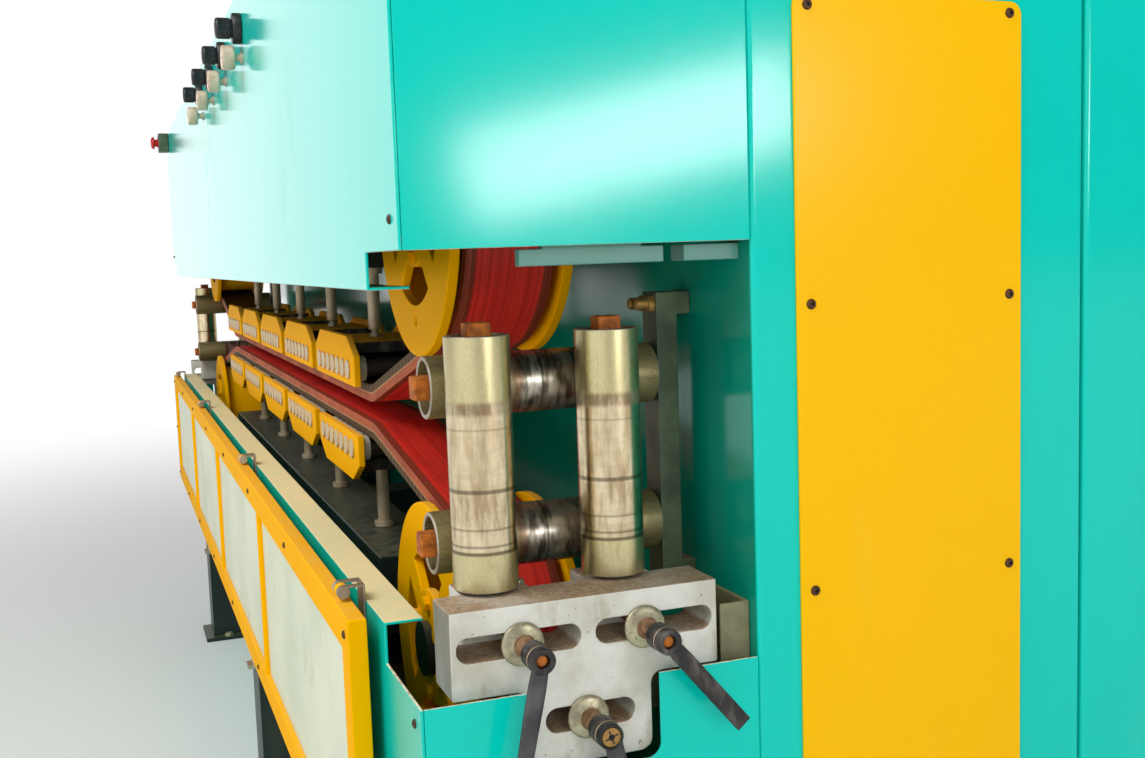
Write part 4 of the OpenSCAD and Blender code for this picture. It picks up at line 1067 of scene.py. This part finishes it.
def leverPiece(build, name):
    ribs = {"count": 14, "depth": 0.07, "low": 0.002, "high": 0.0145, "inside": 0.009}
    arm = levers[name]
    y, z = studPlace(name)
    hub, eye, bore = 1000 * clamp["hub"], 12.25, arm["bore"]
    profile = [(6.2, 0), (10.8, 0), (12.2, 1.2), (hub, 3), (hub, 13.5), (hub - 0.4, 15.5), (12, 19),
        (12.6, 19.5, paleWear), (12.6, 21.2, paleWear), (eye, 21.5), (eye, 29), (eye - 1, 30),
        (bore + 0.8, 30), (bore, 29.2), (bore, 24.5), (6.2, 24.4)]
    build.turn(millimetres(profile), aimed("along", hubX, y, z), oxide, sides=84, outline=ribbed(**ribs),
        ring=True)
    slope = math.radians(arm["angle"])
    down = Vector((0, math.sin(slope), -math.cos(slope)))
    side = Vector((0, math.cos(slope), math.sin(slope)))
    inset = 0.0098  # the arm starts inside the hub
    start = Vector((hubX + clamp["hubLength"] - 0.001 - clamp["armThick"] / 2, y, z)) + down * inset
    reach = clamp["armLength"] + 0.008 - inset
    path = [start + down * reach * share + side * arm["bow"] * math.sin(math.pi * share)
        for share in spread(0, 1, len(arm["widths"]))]
    build.bar(path, [width / 1000 for width in arm["widths"]], clamp["armThick"], arm["finish"], arm["round"])


# Knobs, gauges and stop button, their profiles in millimetres from the hood's front

def controls():
    regulator = {"count": 4, "flange": 0.025}
    ribs = {"count": 18, "depth": 0.05, "low": 0.021, "high": 0.036, "inside": 0.014}
    low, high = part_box("regulator_knobs")
    rows = spread(low.x + regulator["flange"], high.x - regulator["flange"], regulator["count"])
    build = Build()
    build.turn(millimetres([(0, 0.3), (24, 0.3), (25, 1.3), (25, 12), (23.6, 14.6), (19, 15), (14.8, 15.6),
        (14.8, 17.2), (16.6, 18), (17, 19.5), (17, 21.5), (17, 35), (17, 37), (16.2, 39.5), (14, 41), (9, 41),
        (8.4, 40.2), (0, 40)]), Matrix(), None, sides=108, outline=ribbed(**ribs))
    knob = build.template("knob")
    points = [((x, frontY, (low.z + high.z) / 2), forward) for x in rows]
    scatter("regulatorKnobs", "machine", "black_plastic", knob, blackPlastic, points, "regulator_knobs",
        turn=0.3)

    build = Build()
    for x in rows:
        place = aimed("front", x, frontY, centre("pressure_gauges").z)
        build.turn(millimetres([(0, 0.3), (9, 0.3), (9, 3), (6, 3.4), (6, 12.2), (16.5, 12.6), (18.8, 14),
            (19.8, 16.5), (20, 19), (20, 30), (19.6, 32.5), (18.6, 33.8), (17.2, 34), (16.6, 33),
            (16.6, 32.2, gaugeFace), (0, 32.2, gaugeFace)]), place, beigeGauge, sides=64)
        turn = math.radians(130 + 40 * x)
        needle = place @ Matrix.Translation((0, 0, 0.0326)) @ Matrix.Rotation(turn, 4, "Z")
        build.box((-0.0005, -0.003, 0), (0.0005, 0.0125, 0.0004), oxide, edge=0.0001, place=needle)
        build.turn(millimetres([(0, 32.4), (1.9, 32.4), (1.6, 33.3), (0, 33.3)]), place, oxide, sides=20)
    build.replace("pressure_gauges")

    stop = {"half": 0.030, "depth": 0.032, "edge": 0.003}
    middle = centre("stop_button")
    place = aimed("front", middle.x, frontY, middle.z)
    half = stop["half"]
    build = Build()
    build.box((-half, -half, seat), (half, half, stop["depth"]), greyGreen, stop["edge"], 3, place)
    build.turn(millimetres([(0, 31.8), (15, 31.8), (15, 35), (12, 36.2), (12, 44), (18, 44.2), (19.6, 45.2),
        (20, 47), (19.6, 50), (17, 53.5), (12, 55.5), (0, 56)]), place, redPlastic, sides=56)
    build.replace("stop_button")


def plainNodes():  # nodes that keep their own mesh and get their finish
    for node, piece in frame["nodes"].items():
        if not piece.hide_render:
            piece.data.materials.clear()
            piece.data.materials.append(finishOf[slotOf[node]])


for stage in (housings, coverScrews, wallScrews, rearScrews, footAnchors, pressPieces, pressRollers, belts,
        guardPieces, drums, guideStands, controls, plainNodes):
    stage()
    print(stage.__name__, "dressed")
for template in templates:
    bpy.data.objects.remove(template)


# Studio, floor and camera

def studio():
    settings = {"sky": 0.34, "glossyLow": 0.16, "glossyHigh": 1.50, "brightSide": (0.47, -0.87, 0.15),
        "brightFrom": 0.62, "brightFull": 0.98}
    lamps = {
        "window": {"place": (5.0, 1.08, 1.62), "target": (1.75, -0.33, 1.30), "size": (1.28, 0.34),
            "power": 42, "roll": 12},
        "farWindow": {"place": (-8.0, -1.9, 2.5), "target": (1.0, -0.55, 1.35), "size": (4.0, 3.4),
            "power": 50},
        "top": {"place": (1.6, -2.8, 4.2), "target": (0.6, -0.4, 0.9), "size": (3.5, 2.5), "power": 132},
        "side": {"place": (5.4, -0.9, 2.1), "target": (1.6, -0.4, 0.9), "size": (2.0, 1.6), "power": 52},
    }
    world = bpy.data.worlds.new("paleRoom")
    bpy.context.scene.world = world
    world.use_nodes = True
    room = Graph(world.node_tree)
    room.tree.nodes.clear()
    camera, through, mirrored = (room.node("ShaderNodeLightPath", output=f"Is {kind} Ray")
        for kind in ("Camera", "Transmission", "Glossy"))
    seen = camera.larger(through)
    toward = room.node("ShaderNodeTexCoord", output="Generated")
    nearness = room.node("ShaderNodeVectorMath", {"operation": "DOT_PRODUCT"},
        {0: toward, 1: settings["brightSide"]}, output="Value")
    bright = nearness.step(settings["brightFrom"], settings["brightFull"])
    glossy = settings["glossyLow"] + (settings["glossyHigh"] - settings["glossyLow"]) * bright
    strength = seen + (1 - seen) * (mirrored * glossy + (1 - mirrored) * settings["sky"])
    sky = room.node("ShaderNodeBackground", inputs={"Color": (1, 1, 1, 1), "Strength": strength})
    room.node("ShaderNodeOutputWorld", inputs={"Surface": sky})
    made = {name: softbox(name, **lamp) for name, lamp in lamps.items()}
    for name in ("window", "farWindow"):  # seen only as reflections
        made[name].visible_diffuse = False
        made[name].visible_camera = False
    made["side"].visible_glossy = False


def softbox(name, place, target, size, power, roll=0):
    light = bpy.data.lights.new(name, "AREA")
    light.shape = "RECTANGLE"
    light.size, light.size_y = size
    light.energy = power
    lamp = newObject(name, light)
    lamp.location = place
    aim = (Vector(target) - Vector(place)).to_track_quat("-Z", "Y").to_matrix()
    lamp.rotation_euler = (aim @ Matrix.Rotation(math.radians(roll), 3, "Z")).to_euler()
    return lamp


def floor():  # pale round the machine, and as white as the background far away
    ground = {"half": 40.0, "pale": (0.84, 0.84, 0.82, 1), "glow": (0.06, 0.06, 0.06, 1), "near": 0.9,
        "far": 4.5}
    corners = [(x * ground["half"], y * ground["half"], 0) for x, y in ((-1, -1), (1, -1), (1, 1), (-1, 1))]
    mesh = bpy.data.meshes.new("floor")
    mesh.from_pydata(corners, [], [(0, 1, 2, 3)])
    pale = Finish("paleFloor")
    x, y = pale.axis("X"), pale.axis("Y")
    far = ((x * x * 0.35 + y * y) ** 0.5).step(ground["near"], ground["far"])
    base = pale.mix(far, ground["pale"], (0, 0, 0, 1))
    glow = pale.mix(far, ground["glow"], (1, 1, 1, 1))
    mesh.materials.append(pale.close(base, 0.7, Specular_IOR_Level=0.0, Emission_Color=glow,
        Emission_Strength=1.0))
    newObject("floor", mesh)


def camera():
    lens = {"focal": 39.35, "sensor": 36.0, "near": 0.05, "far": 100, "eye": (2.820, -0.7904, 1.200),
        "right": (0.3520, 0.9354, -0.0336), "up": (-0.0812, 0.0663, 0.9945)}
    data = bpy.data.cameras.new("camera")
    data.lens = lens["focal"]
    data.sensor_width = lens["sensor"]
    data.sensor_fit = "HORIZONTAL"
    data.clip_start = lens["near"]
    data.clip_end = lens["far"]
    right, up = Vector(lens["right"]), Vector(lens["up"])
    turn = Matrix((right, up, right.cross(up))).transposed().to_4x4()
    eye = newObject("camera", data)
    eye.matrix_world = Matrix.Translation(lens["eye"]) @ turn
    bpy.context.scene.camera = eye


studio()
floor()
camera()
bpy.context.scene.view_settings.view_transform = "Standard"
print("studio set")
